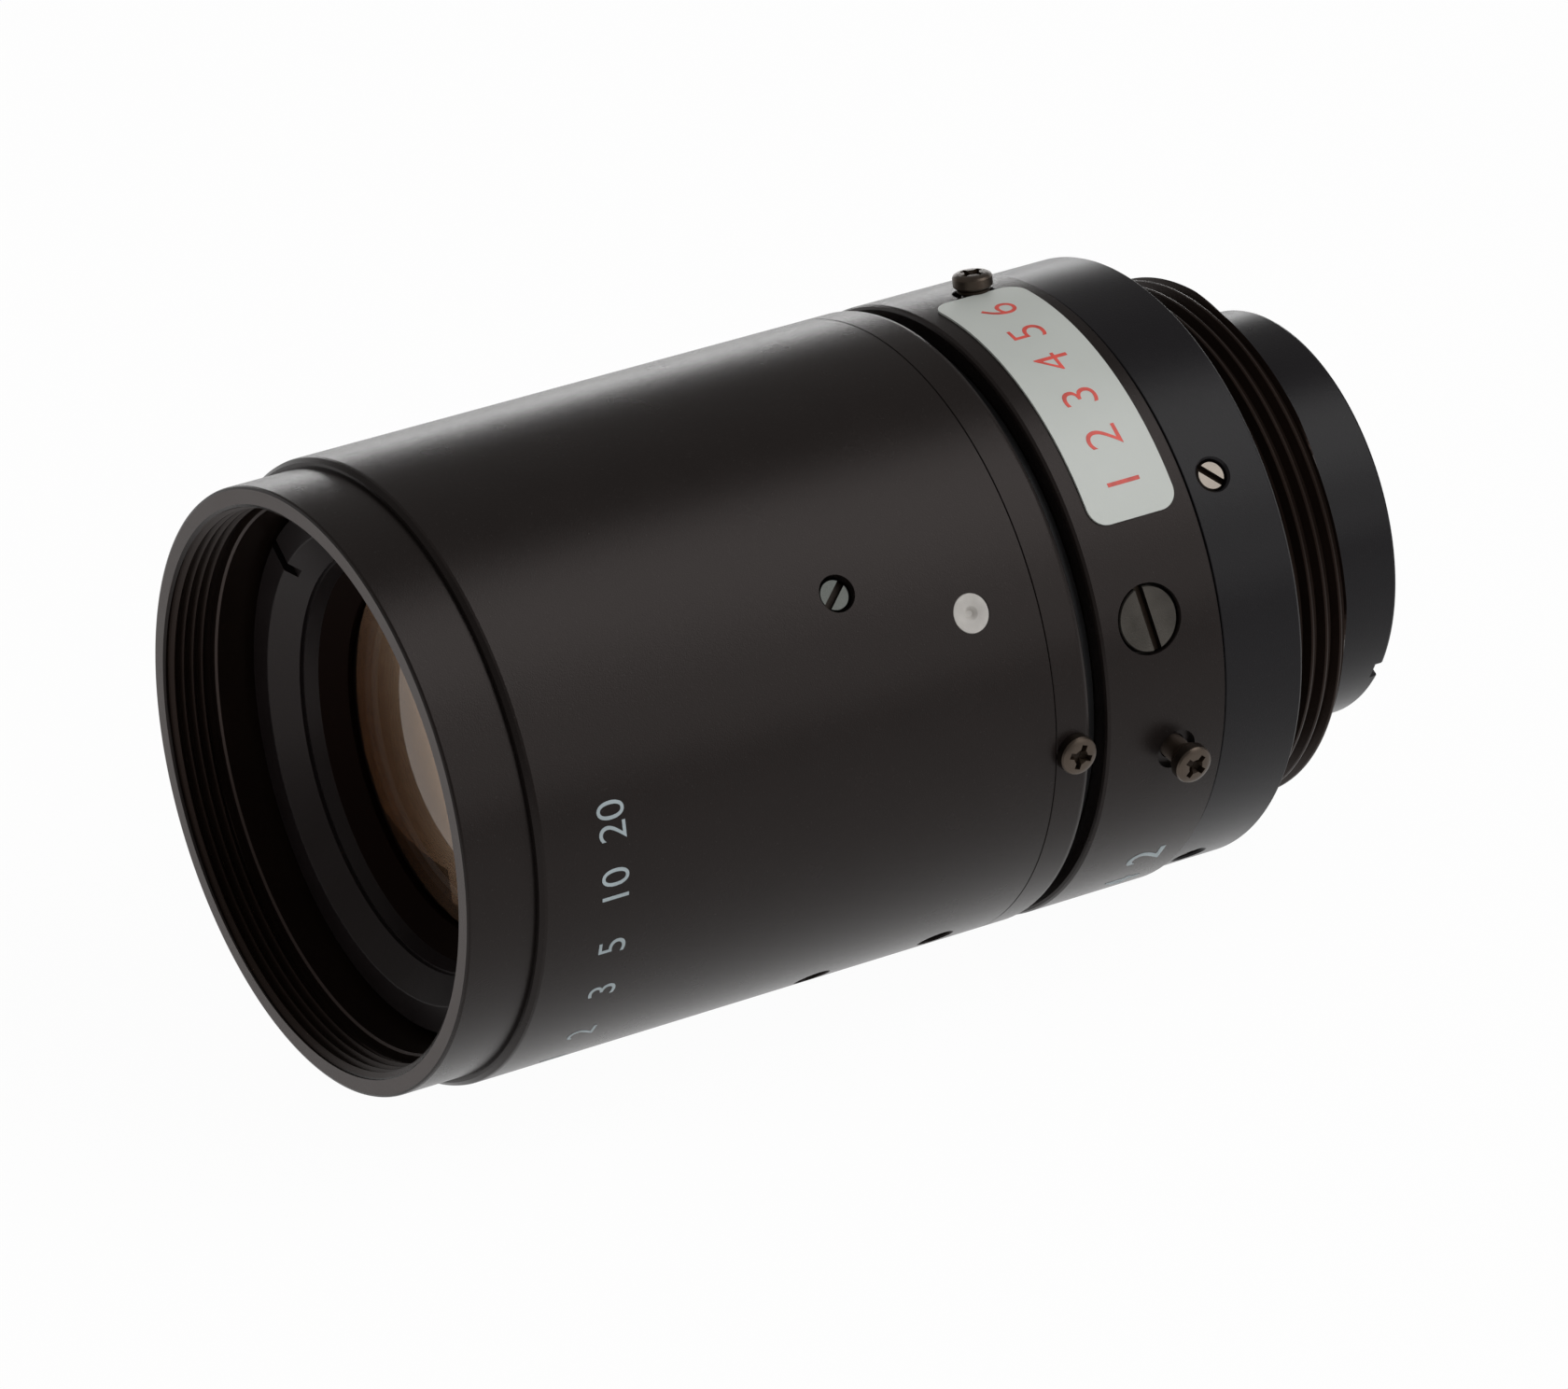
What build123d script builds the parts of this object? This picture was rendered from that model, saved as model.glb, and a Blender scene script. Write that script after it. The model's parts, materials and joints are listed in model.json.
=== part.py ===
from build123d import *
import os
from math import copysign, cos, degrees, hypot, atan2, radians, sin, sqrt

os.makedirs("parts", exist_ok=True)

# Frame: the optical axis is the Y axis and the front of the lens faces -Y, with +Z up.
# Stations are measured along the axis from the mount flange, positive towards the front.
# Angles about the axis are 0 at the top and grow towards +X, clockwise seen from the front.

# Fits
running_fit = 0.05
assembly_fit = 0.02
pin_fit = 0.05

# Mount thread and rear housing. The thread's radius drives every other radius.
thread_radius = 12.70
thread_length = 4.06
thread_end_chamfer = 0.20
thread_relief_depth = 0.80
thread_relief_radius = thread_radius - thread_relief_depth
thread_relief_length = 1.20
flange_step = 1.92
flange_relief_gap = 0.10
flange_relief_radius = thread_radius + flange_relief_gap
flange_relief_depth = 0.12
housing_radius = thread_radius + flange_step
housing_length = 4.40
housing_chamfer = 0.12
housing_floor = 0.20
housing_screw_radius = 0.75
housing_screw_gap = 0.05
housing_screw_setback = 1.53
housing_screw_station = housing_length - housing_screw_setback
housing_screw_angles = [48.6, 138.6, 228.6, 318.6]
housing_screw_slot_turn = 44.0
housing_screw_recess = 0.17

# Nested sleeves from the outside in
barrel_step = 0.22
barrel_radius = housing_radius + barrel_step
barrel_wall = 0.92
focus_sleeve_radius = barrel_radius - barrel_wall - assembly_fit
focus_sleeve_wall = 0.65
focus_bore = focus_sleeve_radius - focus_sleeve_wall
main_barrel_radius = focus_bore - running_fit
main_barrel_wall = 1.05
main_barrel_bore = main_barrel_radius - main_barrel_wall

# Main barrel, the fixed tube that carries the iris and the focus thread
spigot_gap = 0.30
spigot_radius = thread_relief_radius - spigot_gap
spigot_groove_depth = 0.30
spigot_groove_width = 1.80
cell_seat_setback = 0.55
cell_seat_station = housing_length - cell_seat_setback
iris_seat_offset = 0.60
iris_seat_station = housing_length + iris_seat_offset
cell_seat_step = 0.50
drive_slot_width = 2.20
drive_slot_margin = 5.0
drive_slot_overcut = 1.0

# Rear cell and its lenses
rear_cell_wall_step = 1.20
rear_cell_bore = spigot_radius - rear_cell_wall_step
cell_seat_bore = rear_cell_bore - cell_seat_step
rear_tube_step = 0.40
rear_cell_tube_radius = rear_cell_bore - rear_tube_step
rear_cell_tube_front = -0.60
rear_lens_share = 0.80
rear_lens_radius = rear_lens_share * rear_cell_tube_radius
rear_clear_radius = 0.75 * rear_lens_radius
rear_stop_margin = 0.30
rear_cell_stop_radius = rear_clear_radius + rear_stop_margin
rim_notch_width = 1.00
rim_notch_depth = 0.45
rim_notch_angle = 117.0
rear_inner_curve = 1.0625 * rear_lens_radius
rear_stop_depth = 0.57
rear_inner_thickness = 1.40
rear_outer_thickness = 4.60
rear_outer_curve = 1.5 * rear_lens_radius
rear_spacer_wall = 0.60
rear_air_gap = 0.15
rear_element_thickness = 2.40
rear_element_front_curve = 5 * rear_lens_radius
rear_element_rear_curve = 7.5 * rear_lens_radius
rear_ring_wall = 1.10
rear_ring_recess = 0.23
rear_ring_length = 0.951

# Iris ring and its screws
seam_gap = 0.10
iris_ring_step = 0.01
iris_ring_radius = barrel_radius - iris_ring_step
iris_ring_length = 6.65
iris_ring_rear = housing_length + seam_gap
iris_ring_front = iris_ring_rear + iris_ring_length
iris_ring_chamfer = 0.20
drive_screw_setback = 2.82
drive_screw_station = iris_ring_front - drive_screw_setback
drive_screw_angle = 70.5
drive_screw_head_radius = 1.575
drive_screw_head_height = 0.75
drive_screw_seat_depth = 0.86
drive_screw_shank_radius = 0.80
drive_screw_tip_radius = 0.70
drive_screw_slot_turn = 9.0
drive_screw_slot_width = 0.45
label_rear_margin = 0.80
label_rear = iris_ring_rear + label_rear_margin
label_front_margin = 1.10
label_front = iris_ring_front - label_front_margin
label_start = -7.5
label_end = 52.4
label_corner = 1.00
label_thickness = 0.10
keeper_width = 0.40
keeper_lip = 0.60
keeper_radius = main_barrel_radius + keeper_lip
keeper_groove_depth = 0.20
keeper_split = 8.0

# Iris mechanism
blade_count = 6
ring_travel = 50.0
blade_travel = 28.0
base_plate_thickness = 0.50
pivot_wall = 1.60
pivot_circle = main_barrel_bore - pivot_wall
blade_reach = 4.55
stop_radius = pivot_circle - blade_reach
pin_radius = 0.40
drive_pin_inset = 0.40
drive_pin_circle = pivot_circle - drive_pin_inset
drive_pin_lag = 13.0
blade_clearance = 0.20
blade_inner_radius = stop_radius + blade_clearance
blade_edge_inset = 0.90
blade_outer_radius = pivot_circle - blade_edge_inset
blade_sweep = 131.0
blade_thickness = 0.12
blade_gap = 0.06
blade_ear_width = 1.60
iris_play = 0.08
cam_plate_thickness = 0.90
cam_slot_depth = 0.70
cam_bore_step = 0.40
cam_ring_bore = stop_radius + cam_bore_step
cam_skirt_step = 0.45
cam_skirt_bore = pivot_circle + cam_skirt_step
cam_skirt_setback = 1.45
cam_skirt_front = iris_ring_front - cam_skirt_setback
iris_retainer_thickness = 0.75

# Lock screws
lock_head_radius = 0.95
lock_head_height = 0.50
lock_head_chamfer = 0.06
lock_shank_radius = 0.60
lock_shank_length = 1.70
lock_recess_width = 0.26
lock_recess_length = 1.15
lock_recess_depth = 0.28
iris_lock_offset = 2.70
iris_lock_station = iris_ring_rear + iris_lock_offset
iris_lock_upper_angle = -10.5
iris_lock_upper_lift = 0.35
iris_lock_side_angle = 97.0
iris_lock_side_lift = 1.00
lock_counterbore_radius = 1.00
lock_counterbore_depth = 0.35

# Focus ring, the threaded sleeve with a collar that the long barrel slides over
focus_travel = 3.50
focus_gap = 0.85
focus_ring_rear = iris_ring_front + focus_gap
focus_lock_offset = 1.00
focus_lock_station = focus_ring_rear + focus_lock_offset
focus_lock_angle = 91.0
focus_collar_length = 1.93
focus_collar_chamfer = 0.30
barrel_seam = 0.06
barrel_edge_chamfer = 0.15
barrel_screw_offset = 11.78
barrel_screw_station = focus_ring_rear + barrel_screw_offset
barrel_screw_angles = [50.7, 140.7, 230.7, 320.7]
barrel_screw_hole_radius = 0.875
barrel_screw_radius = 0.82
barrel_screw_recess = 0.29
barrel_screw_seat_depth = 0.30
barrel_screw_slot_turn = 42.0
extra_screw_offset = 5.20
extra_screw_station = focus_ring_rear + extra_screw_offset
extra_screw_angle = 139.0
dot_offset = 5.44
dot_station = focus_ring_rear + dot_offset
dot_angle = 60.6
dot_radius = 0.95
dot_depth = 0.30
dot_dimple_radius = 0.30

# Front cell and its lenses
front_cell_gap = 1.30
front_cell_rear = cam_skirt_front + front_cell_gap
front_cell_guide_length = 19.00
main_barrel_front = front_cell_rear + front_cell_guide_length
front_cell_flange_length = 1.45
second_seat_setback = 0.30
second_seat_station = main_barrel_front - second_seat_setback
doublet_air_gap = 0.30
doublet_inner_thickness = 4.80
doublet_outer_thickness = 1.40
second_thickness = 5.20
front_air_gap = 0.45
front_thickness = 4.00
front_vertex_height = 0.45
doublet_vertex = second_seat_station - doublet_air_gap
doublet_cement_station = doublet_vertex - doublet_inner_thickness
doublet_rear_vertex = doublet_cement_station - doublet_outer_thickness
second_vertex = second_seat_station + second_thickness
front_rear_vertex = second_vertex + front_air_gap
front_vertex = front_rear_vertex + front_thickness
front_cell_front = front_vertex - front_vertex_height
cell_lip_thickness = 1.18
cell_tail_wall = 1.20
key_slot_end_gap = 0.05
guide_pin_radius = 0.60
guide_pin_offset = 5.50
guide_pin_station = front_cell_rear + guide_pin_offset
guide_pin_angle = 180.0
guide_pin_reach = 0.90

# Front rim with the filter thread
barrel_lead = 2.60
barrel_front = front_cell_front + barrel_lead
rim_step = 0.46
rim_radius = barrel_radius - rim_step
rim_length = 3.50
rim_front = barrel_front + rim_length
rim_chamfer = 0.14
rim_wall = 1.15
filter_bore = rim_radius - rim_wall
filter_depth = 2.51
filter_ledge = 0.23
rim_bore = filter_bore - filter_ledge
filter_lead_chamfer = 0.10

# Radii of the front cell and its lenses
front_cell_neck_gap = 0.38
front_cell_neck_radius = rim_bore - front_cell_neck_gap
front_ring_seat_wall = 1.22
front_ring_seat_radius = front_cell_neck_radius - front_ring_seat_wall
front_ring_seat_depth = 1.05
front_lens_shoulder = 1.50
front_lens_radius = front_ring_seat_radius - front_lens_shoulder
doublet_step = 1.10
doublet_radius = front_lens_radius - doublet_step
cell_lip_height = 1.80
cell_lip_bore = doublet_radius - cell_lip_height
doublet_clear_margin = 0.50
doublet_clear_radius = cell_lip_bore - doublet_clear_margin
front_curve = 2.4242 * front_lens_radius
front_rear_curve = 15.15 * front_lens_radius
second_curve = 1.6162 * front_lens_radius
second_rear_curve = 3.0303 * front_lens_radius
doublet_curve = 1.4205 * doublet_radius
doublet_rear_curve = 1.3077 * doublet_clear_radius
front_spacer_wall = 0.55
doublet_ring_wall = 0.90
doublet_ring_length = 1.41

# Retaining ring in front of the glass
retainer_flange_thickness = 1.82
retainer_face_step = 0.18
retainer_face_radius = front_ring_seat_radius - retainer_face_step
retainer_cone_width = 1.16
retainer_cone_radius = retainer_face_radius - retainer_cone_width
retainer_cone_depth = 1.04
retainer_step_depth = 0.18
retainer_step_width = 0.11
retainer_step_radius = retainer_cone_radius - retainer_step_width
retainer_band_width = 0.29
retainer_band_radius = retainer_step_radius - retainer_band_width
retainer_band_depth = 0.60
retainer_lip_width = 1.05
retainer_lip_radius = retainer_band_radius - retainer_lip_width
retainer_lip_thickness = 0.20
spanner_slot_width = 0.60
spanner_slot_depth = 0.80
spanner_slot_angle = -55.0

# Set screw slots
slot_width = 0.30
slot_depth = 0.35


def radial_plane(station, angle, radius):
    """Plane across a radius: local x points to the front, local y to growing angles."""
    outward = Vector(sin(radians(angle)), 0, cos(radians(angle)))
    return Plane(origin=outward * radius - Vector(0, station, 0), x_dir=(0, -1, 0), z_dir=outward)


def cross_plane(station, turn=0.0):
    """Plane across the axis that faces the front, turned anticlockwise as seen from there."""
    side = Vector(cos(radians(turn)), 0, sin(radians(turn)))
    return Plane(origin=(0, -station, 0), x_dir=side, z_dir=(0, -1, 0))


def station_of(vertex, curve, height):
    """Station of a lens surface at a height. A positive curve bulges towards the front."""
    if curve == 0:
        return vertex
    return vertex - copysign(abs(curve) - sqrt(curve**2 - height**2), curve)


def lens_side(vertex, curve, clear, edge):
    """Half section of one side of a lens, from the axis to its edge, flat past the clear radius."""
    rim = station_of(vertex, curve, clear)
    if curve == 0:
        Line((0, vertex), (edge, vertex))
        return rim
    ThreePointArc((0, vertex), (clear / 2, station_of(vertex, curve, clear / 2)), (clear, rim))
    if clear < edge:
        Line((clear, rim), (edge, rim))
    return rim


def turned_about(centre, point, angle):
    """The point after a turn about a centre, in a plane across the axis."""
    x = point[0] - centre[0]
    y = point[1] - centre[1]
    turn = radians(angle)
    return (
        centre[0] + x * cos(turn) - y * sin(turn),
        centre[1] + x * sin(turn) + y * cos(turn),
    )


def section_plane(angle):
    """Half plane through the axis, with x as the radius and y as the station."""
    outward = Vector(sin(radians(angle)), 0, cos(radians(angle)))
    across = Vector(cos(radians(angle)), 0, -sin(radians(angle)))
    return Plane(origin=(0, 0, 0), x_dir=outward, z_dir=across)


half_section = section_plane(90)


# Rear housing

housing_seat_rear = housing_floor
housing_seat_radius = spigot_radius + assembly_fit
housing_screw_hole_radius = housing_screw_radius + housing_screw_gap
housing_screw_planes = [
    radial_plane(housing_screw_station, angle, housing_radius) for angle in housing_screw_angles
]

with BuildPart() as mount_housing:
    with BuildSketch(half_section):
        with BuildLine():
            Polyline(
                (rear_cell_bore, -thread_length),
                (thread_radius - thread_end_chamfer, -thread_length),
                (thread_radius, thread_end_chamfer - thread_length),
                (thread_radius, -thread_relief_length),
                (thread_relief_radius, -thread_relief_length),
                (thread_relief_radius, flange_relief_depth),
                (flange_relief_radius, flange_relief_depth),
                (flange_relief_radius, 0),
                (housing_radius - housing_chamfer, 0),
                (housing_radius, housing_chamfer),
                (housing_radius, housing_length),
                (housing_seat_radius, housing_length),
                (housing_seat_radius, housing_seat_rear),
                (rear_cell_bore, housing_seat_rear),
                close=True,
            )
        make_face()
    revolve(axis=Axis.Y)
    with BuildSketch(*housing_screw_planes):
        Circle(housing_screw_hole_radius)
    extrude(amount=-(housing_radius - spigot_radius), mode=Mode.SUBTRACT)
mount_housing.part.label = "mount_housing"
export_step(mount_housing.part, "parts/mount_housing.step")

spigot_groove_floor = spigot_radius - spigot_groove_depth
housing_screw_top = housing_radius - housing_screw_recess
housing_screw_top_planes = [
    radial_plane(housing_screw_station, angle, housing_screw_top) for angle in housing_screw_angles
]

with BuildPart() as housing_set_screws:
    with BuildSketch(*housing_screw_top_planes):
        Circle(housing_screw_radius)
    extrude(amount=spigot_groove_floor - housing_screw_top)
    with BuildSketch(*housing_screw_top_planes):
        Rectangle(3 * housing_screw_radius, slot_width, rotation=housing_screw_slot_turn)
    extrude(amount=-slot_depth, mode=Mode.SUBTRACT)
housing_set_screws.part.label = "housing_set_screws"
export_step(housing_set_screws.part, "parts/housing_set_screws.step")


# Main barrel

keeper_rear = iris_ring_front + running_fit
keeper_front = keeper_rear + keeper_width
keeper_groove_radius = main_barrel_radius - keeper_groove_depth
cam_ring_radius = main_barrel_bore - running_fit
drive_slot_half = (ring_travel / 2) + drive_slot_margin
drive_slot_middle = 90 - (drive_screw_angle - ring_travel / 2)

with BuildPart() as main_barrel:
    with BuildSketch(half_section):
        with BuildLine():
            Polyline(
                (rear_cell_bore, housing_seat_rear + assembly_fit),
                (spigot_radius, housing_seat_rear + assembly_fit),
                (spigot_radius, housing_screw_station - spigot_groove_width / 2),
                (spigot_groove_floor, housing_screw_station - spigot_groove_width / 2),
                (spigot_groove_floor, housing_screw_station + spigot_groove_width / 2),
                (spigot_radius, housing_screw_station + spigot_groove_width / 2),
                (spigot_radius, housing_length),
                (main_barrel_radius, housing_length),
                (main_barrel_radius, keeper_rear),
                (keeper_groove_radius, keeper_rear),
                (keeper_groove_radius, keeper_front),
                (main_barrel_radius, keeper_front),
                (main_barrel_radius, main_barrel_front),
                (main_barrel_bore, main_barrel_front),
                (main_barrel_bore, iris_seat_station),
                (cell_seat_bore, iris_seat_station),
                (cell_seat_bore, cell_seat_station),
                (rear_cell_bore, cell_seat_station),
                close=True,
            )
        make_face()
    revolve(axis=Axis.Y)
    # Slot that the drive screw runs along
    with BuildSketch(cross_plane(drive_screw_station - drive_slot_width / 2)):
        with BuildLine():
            slot_outer = CenterArc(
                (0, 0),
                main_barrel_radius + drive_slot_overcut,
                drive_slot_middle - drive_slot_half,
                2 * drive_slot_half,
            )
            slot_inner = CenterArc(
                (0, 0),
                main_barrel_bore - 0.2,
                drive_slot_middle - drive_slot_half,
                2 * drive_slot_half,
            )
            Line(slot_outer @ 0, slot_inner @ 0)
            Line(slot_outer @ 1, slot_inner @ 1)
        make_face()
    extrude(amount=drive_slot_width, mode=Mode.SUBTRACT)
    # Hole for the guide pin
    with BuildSketch(radial_plane(guide_pin_station, guide_pin_angle, main_barrel_radius)):
        Circle(guide_pin_radius)
    extrude(amount=-(main_barrel_radius - main_barrel_bore) - 0.2, mode=Mode.SUBTRACT)
main_barrel.part.label = "main_barrel"
export_step(main_barrel.part, "parts/main_barrel.step")

guide_pin_top = main_barrel_radius - running_fit

with BuildPart() as guide_pin:
    with BuildSketch(radial_plane(guide_pin_station, guide_pin_angle, guide_pin_top)):
        Circle(guide_pin_radius)
    extrude(amount=-(guide_pin_top - main_barrel_bore) - guide_pin_reach)
guide_pin.part.label = "guide_pin"
export_step(guide_pin.part, "parts/guide_pin.step")


# Rear cell and its lenses

rear_stop_station = cell_seat_station - rear_stop_depth
rear_stop_rise = rear_inner_curve - sqrt(rear_inner_curve**2 - rear_clear_radius**2)
rear_inner_vertex = rear_stop_station - rear_stop_rise
rear_cement_station = rear_inner_vertex - rear_inner_thickness
rear_outer_vertex = rear_cement_station - rear_outer_thickness
rear_bore = rear_lens_radius + assembly_fit
rear_element_vertex = rear_outer_vertex - rear_air_gap
rear_element_rear_vertex = rear_element_vertex - rear_element_thickness
rear_ring_bore = rear_bore - rear_ring_wall
rear_ring_front = station_of(rear_element_rear_vertex, -rear_element_rear_curve, rear_ring_bore)
rear_ring_rear = rear_ring_front - rear_ring_length
rear_cell_overhang = rear_ring_recess - rear_ring_rear

with BuildPart() as rear_cell:
    with BuildSketch(half_section):
        with BuildLine():
            Polyline(
                (rear_bore, -rear_cell_overhang),
                (rear_cell_tube_radius, -rear_cell_overhang),
                (rear_cell_tube_radius, rear_cell_tube_front),
                (rear_cell_bore - assembly_fit, rear_cell_tube_front),
                (rear_cell_bore - assembly_fit, cell_seat_station),
                (rear_cell_stop_radius, cell_seat_station),
                (rear_cell_stop_radius, rear_stop_station),
                (rear_bore, rear_stop_station),
                close=True,
            )
        make_face()
    revolve(axis=Axis.Y)
    # Spanner notches across the rear rim
    with BuildSketch(cross_plane(-rear_cell_overhang, 90 - rim_notch_angle)):
        Rectangle(3 * rear_cell_tube_radius, rim_notch_width)
    extrude(amount=rim_notch_depth, mode=Mode.SUBTRACT)
rear_cell.part.label = "rear_cell"
export_step(rear_cell.part, "parts/rear_cell.step")

with BuildPart() as rear_doublet_inner:
    with BuildSketch(half_section):
        with BuildLine():
            rim = lens_side(rear_inner_vertex, -rear_inner_curve, rear_clear_radius, rear_lens_radius)
            lens_side(rear_cement_station, 0, rear_lens_radius, rear_lens_radius)
            Line((rear_lens_radius, rim), (rear_lens_radius, rear_cement_station))
            Line((0, rear_inner_vertex), (0, rear_cement_station))
        make_face()
    revolve(axis=Axis.Y)
rear_doublet_inner.part.label = "rear_doublet_inner"
export_step(rear_doublet_inner.part, "parts/rear_doublet_inner.step")

with BuildPart() as rear_doublet_outer:
    with BuildSketch(half_section):
        with BuildLine():
            lens_side(rear_cement_station, 0, rear_lens_radius, rear_lens_radius)
            rim = lens_side(rear_outer_vertex, -rear_outer_curve, rear_lens_radius, rear_lens_radius)
            Line((rear_lens_radius, rim), (rear_lens_radius, rear_cement_station))
            Line((0, rear_outer_vertex), (0, rear_cement_station))
        make_face()
    revolve(axis=Axis.Y)
rear_doublet_outer.part.label = "rear_doublet_outer"
export_step(rear_doublet_outer.part, "parts/rear_doublet_outer.step")

with BuildPart() as rear_element:
    with BuildSketch(half_section):
        with BuildLine():
            front_rim_station = lens_side(
                rear_element_vertex, rear_element_front_curve, rear_lens_radius, rear_lens_radius
            )
            rear_rim_station = lens_side(
                rear_element_rear_vertex, -rear_element_rear_curve, rear_lens_radius, rear_lens_radius
            )
            Line((rear_lens_radius, front_rim_station), (rear_lens_radius, rear_rim_station))
            Line((0, rear_element_vertex), (0, rear_element_rear_vertex))
        make_face()
    revolve(axis=Axis.Y)
rear_element.part.label = "rear_element"
export_step(rear_element.part, "parts/rear_element.step")

rear_spacer_bore = rear_lens_radius - rear_spacer_wall
rear_spacer_front = station_of(rear_outer_vertex, -rear_outer_curve, rear_spacer_bore)
rear_spacer_rear = station_of(rear_element_vertex, rear_element_front_curve, rear_spacer_bore)

with BuildPart() as rear_spacer:
    with BuildSketch(half_section):
        with BuildLine():
            Polyline(
                (rear_spacer_bore, rear_spacer_rear),
                (rear_lens_radius, rear_spacer_rear),
                (rear_lens_radius, rear_spacer_front),
                (rear_spacer_bore, rear_spacer_front),
                close=True,
            )
        make_face()
    revolve(axis=Axis.Y)
rear_spacer.part.label = "rear_spacer"
export_step(rear_spacer.part, "parts/rear_spacer.step")

with BuildPart() as rear_retaining_ring:
    with BuildSketch(half_section):
        with BuildLine():
            Polyline(
                (rear_ring_bore, rear_ring_rear),
                (rear_bore, rear_ring_rear),
                (rear_bore, rear_ring_front),
                (rear_ring_bore, rear_ring_front),
                close=True,
            )
        make_face()
    revolve(axis=Axis.Y)
    with BuildSketch(cross_plane(rear_ring_rear, rim_notch_angle)):
        Rectangle(3 * rear_bore, spanner_slot_width)
    extrude(amount=rim_notch_depth, mode=Mode.SUBTRACT)
rear_retaining_ring.part.label = "rear_retaining_ring"
export_step(rear_retaining_ring.part, "parts/rear_retaining_ring.step")


# Iris mechanism

pivot_point = (pivot_circle, 0)
drive_point = (
    drive_pin_circle * cos(radians(drive_pin_lag)),
    -drive_pin_circle * sin(radians(drive_pin_lag)),
)
ear_middle = ((pivot_circle + drive_point[0]) / 2, drive_point[1] / 2)
ear_length = hypot(pivot_circle - drive_point[0], drive_point[1])
ear_slope = degrees(atan2(-drive_point[1], pivot_circle - drive_point[0]))
blade_pitch = blade_thickness + blade_gap
base_plate_front = iris_seat_station + base_plate_thickness
cam_plate_rear = base_plate_front + iris_play + blade_count * blade_pitch + iris_play - blade_gap
cam_plate_front = cam_plate_rear + cam_plate_thickness

with BuildPart() as iris_base_plate:
    with BuildSketch(cross_plane(iris_seat_station)):
        Circle(main_barrel_bore - assembly_fit)
        Circle(stop_radius, mode=Mode.SUBTRACT)
        with PolarLocations(pivot_circle, blade_count):
            Circle(pin_radius + pin_fit, mode=Mode.SUBTRACT)
    extrude(amount=base_plate_thickness)
iris_base_plate.part.label = "iris_base_plate"
export_step(iris_base_plate.part, "parts/iris_base_plate.step")

blade_names = [f"iris_blade_{number + 1}" for number in range(blade_count)]

for number, blade_name in enumerate(blade_names):
    blade_turn = number * 360 / blade_count
    blade_rear = base_plate_front + iris_play + number * blade_pitch
    blade_front = blade_rear + blade_thickness
    pivot_end = iris_seat_station + running_fit
    drive_end = cam_plate_rear + cam_slot_depth - 2 * running_fit
    with BuildPart() as iris_blade:
        with BuildSketch(cross_plane(blade_rear, blade_turn)):
            with BuildLine():
                outer_arc = CenterArc((0, 0), blade_outer_radius, -drive_pin_lag, blade_sweep)
                inner_arc = CenterArc((0, 0), blade_inner_radius, -drive_pin_lag, blade_sweep)
                Line(outer_arc @ 0, inner_arc @ 0)
                Line(outer_arc @ 1, inner_arc @ 1)
            make_face()
            with Locations(ear_middle):
                SlotCenterToCenter(ear_length, blade_ear_width, rotation=ear_slope)
        extrude(amount=blade_thickness)
        with BuildSketch(cross_plane(blade_rear, blade_turn)):
            with Locations(pivot_point):
                Circle(pin_radius)
        extrude(amount=pivot_end - blade_rear)
        with BuildSketch(cross_plane(blade_front, blade_turn)):
            with Locations(drive_point):
                Circle(pin_radius)
        extrude(amount=drive_end - blade_front)
    iris_blade.part.label = blade_name
    export_step(iris_blade.part, f"parts/{blade_name}.step")

# Path of a drive pin as seen by the turning cam ring
cam_path = [
    turned_about(
        (0, 0),
        turned_about(pivot_point, drive_point, share * blade_travel),
        -share * ring_travel,
    )
    for share in (0, 0.5, 1)
]

with BuildPart() as iris_cam_ring:
    with BuildSketch(half_section):
        with BuildLine():
            Polyline(
                (cam_ring_bore, cam_plate_rear),
                (cam_ring_radius, cam_plate_rear),
                (cam_ring_radius, cam_skirt_front),
                (cam_skirt_bore, cam_skirt_front),
                (cam_skirt_bore, cam_plate_front),
                (cam_ring_bore, cam_plate_front),
                close=True,
            )
        make_face()
    revolve(axis=Axis.Y)
    with BuildSketch(cross_plane(cam_plate_rear)):
        with PolarLocations(0, blade_count):
            SlotArc(Edge.make_three_point_arc(*cam_path), 2 * (pin_radius + pin_fit))
    extrude(amount=cam_slot_depth, mode=Mode.SUBTRACT)
    # Hole for the tip of the drive screw
    with BuildSketch(radial_plane(drive_screw_station, drive_screw_angle, cam_ring_radius)):
        Circle(drive_screw_tip_radius + assembly_fit)
    extrude(amount=-(cam_ring_radius - cam_skirt_bore) - 0.2, mode=Mode.SUBTRACT)
iris_cam_ring.part.label = "iris_cam_ring"
export_step(iris_cam_ring.part, "parts/iris_cam_ring.step")

retainer_rear = cam_skirt_front + running_fit

with BuildPart() as iris_retaining_ring:
    with BuildSketch(cross_plane(retainer_rear)):
        Circle(main_barrel_bore)
        Circle(cam_skirt_bore, mode=Mode.SUBTRACT)
    extrude(amount=iris_retainer_thickness)
    with BuildSketch(cross_plane(retainer_rear + iris_retainer_thickness)):
        Rectangle(3 * main_barrel_bore, spanner_slot_width)
    extrude(amount=-iris_retainer_thickness / 2, mode=Mode.SUBTRACT)
iris_retaining_ring.part.label = "iris_retaining_ring"
export_step(iris_retaining_ring.part, "parts/iris_retaining_ring.step")

with BuildPart() as iris_keeper_ring:
    with BuildSketch(cross_plane(keeper_rear)):
        Circle(keeper_radius)
        Circle(keeper_groove_radius, mode=Mode.SUBTRACT)
        with BuildLine():
            Polyline(
                (0, 0),
                (-2 * keeper_radius, -2 * keeper_radius * sin(radians(keeper_split))),
                (-2 * keeper_radius, 0),
                close=True,
            )
        make_face(mode=Mode.SUBTRACT)
    extrude(amount=keeper_width)
iris_keeper_ring.part.label = "iris_keeper_ring"
export_step(iris_keeper_ring.part, "parts/iris_keeper_ring.step")


# Iris ring

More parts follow.
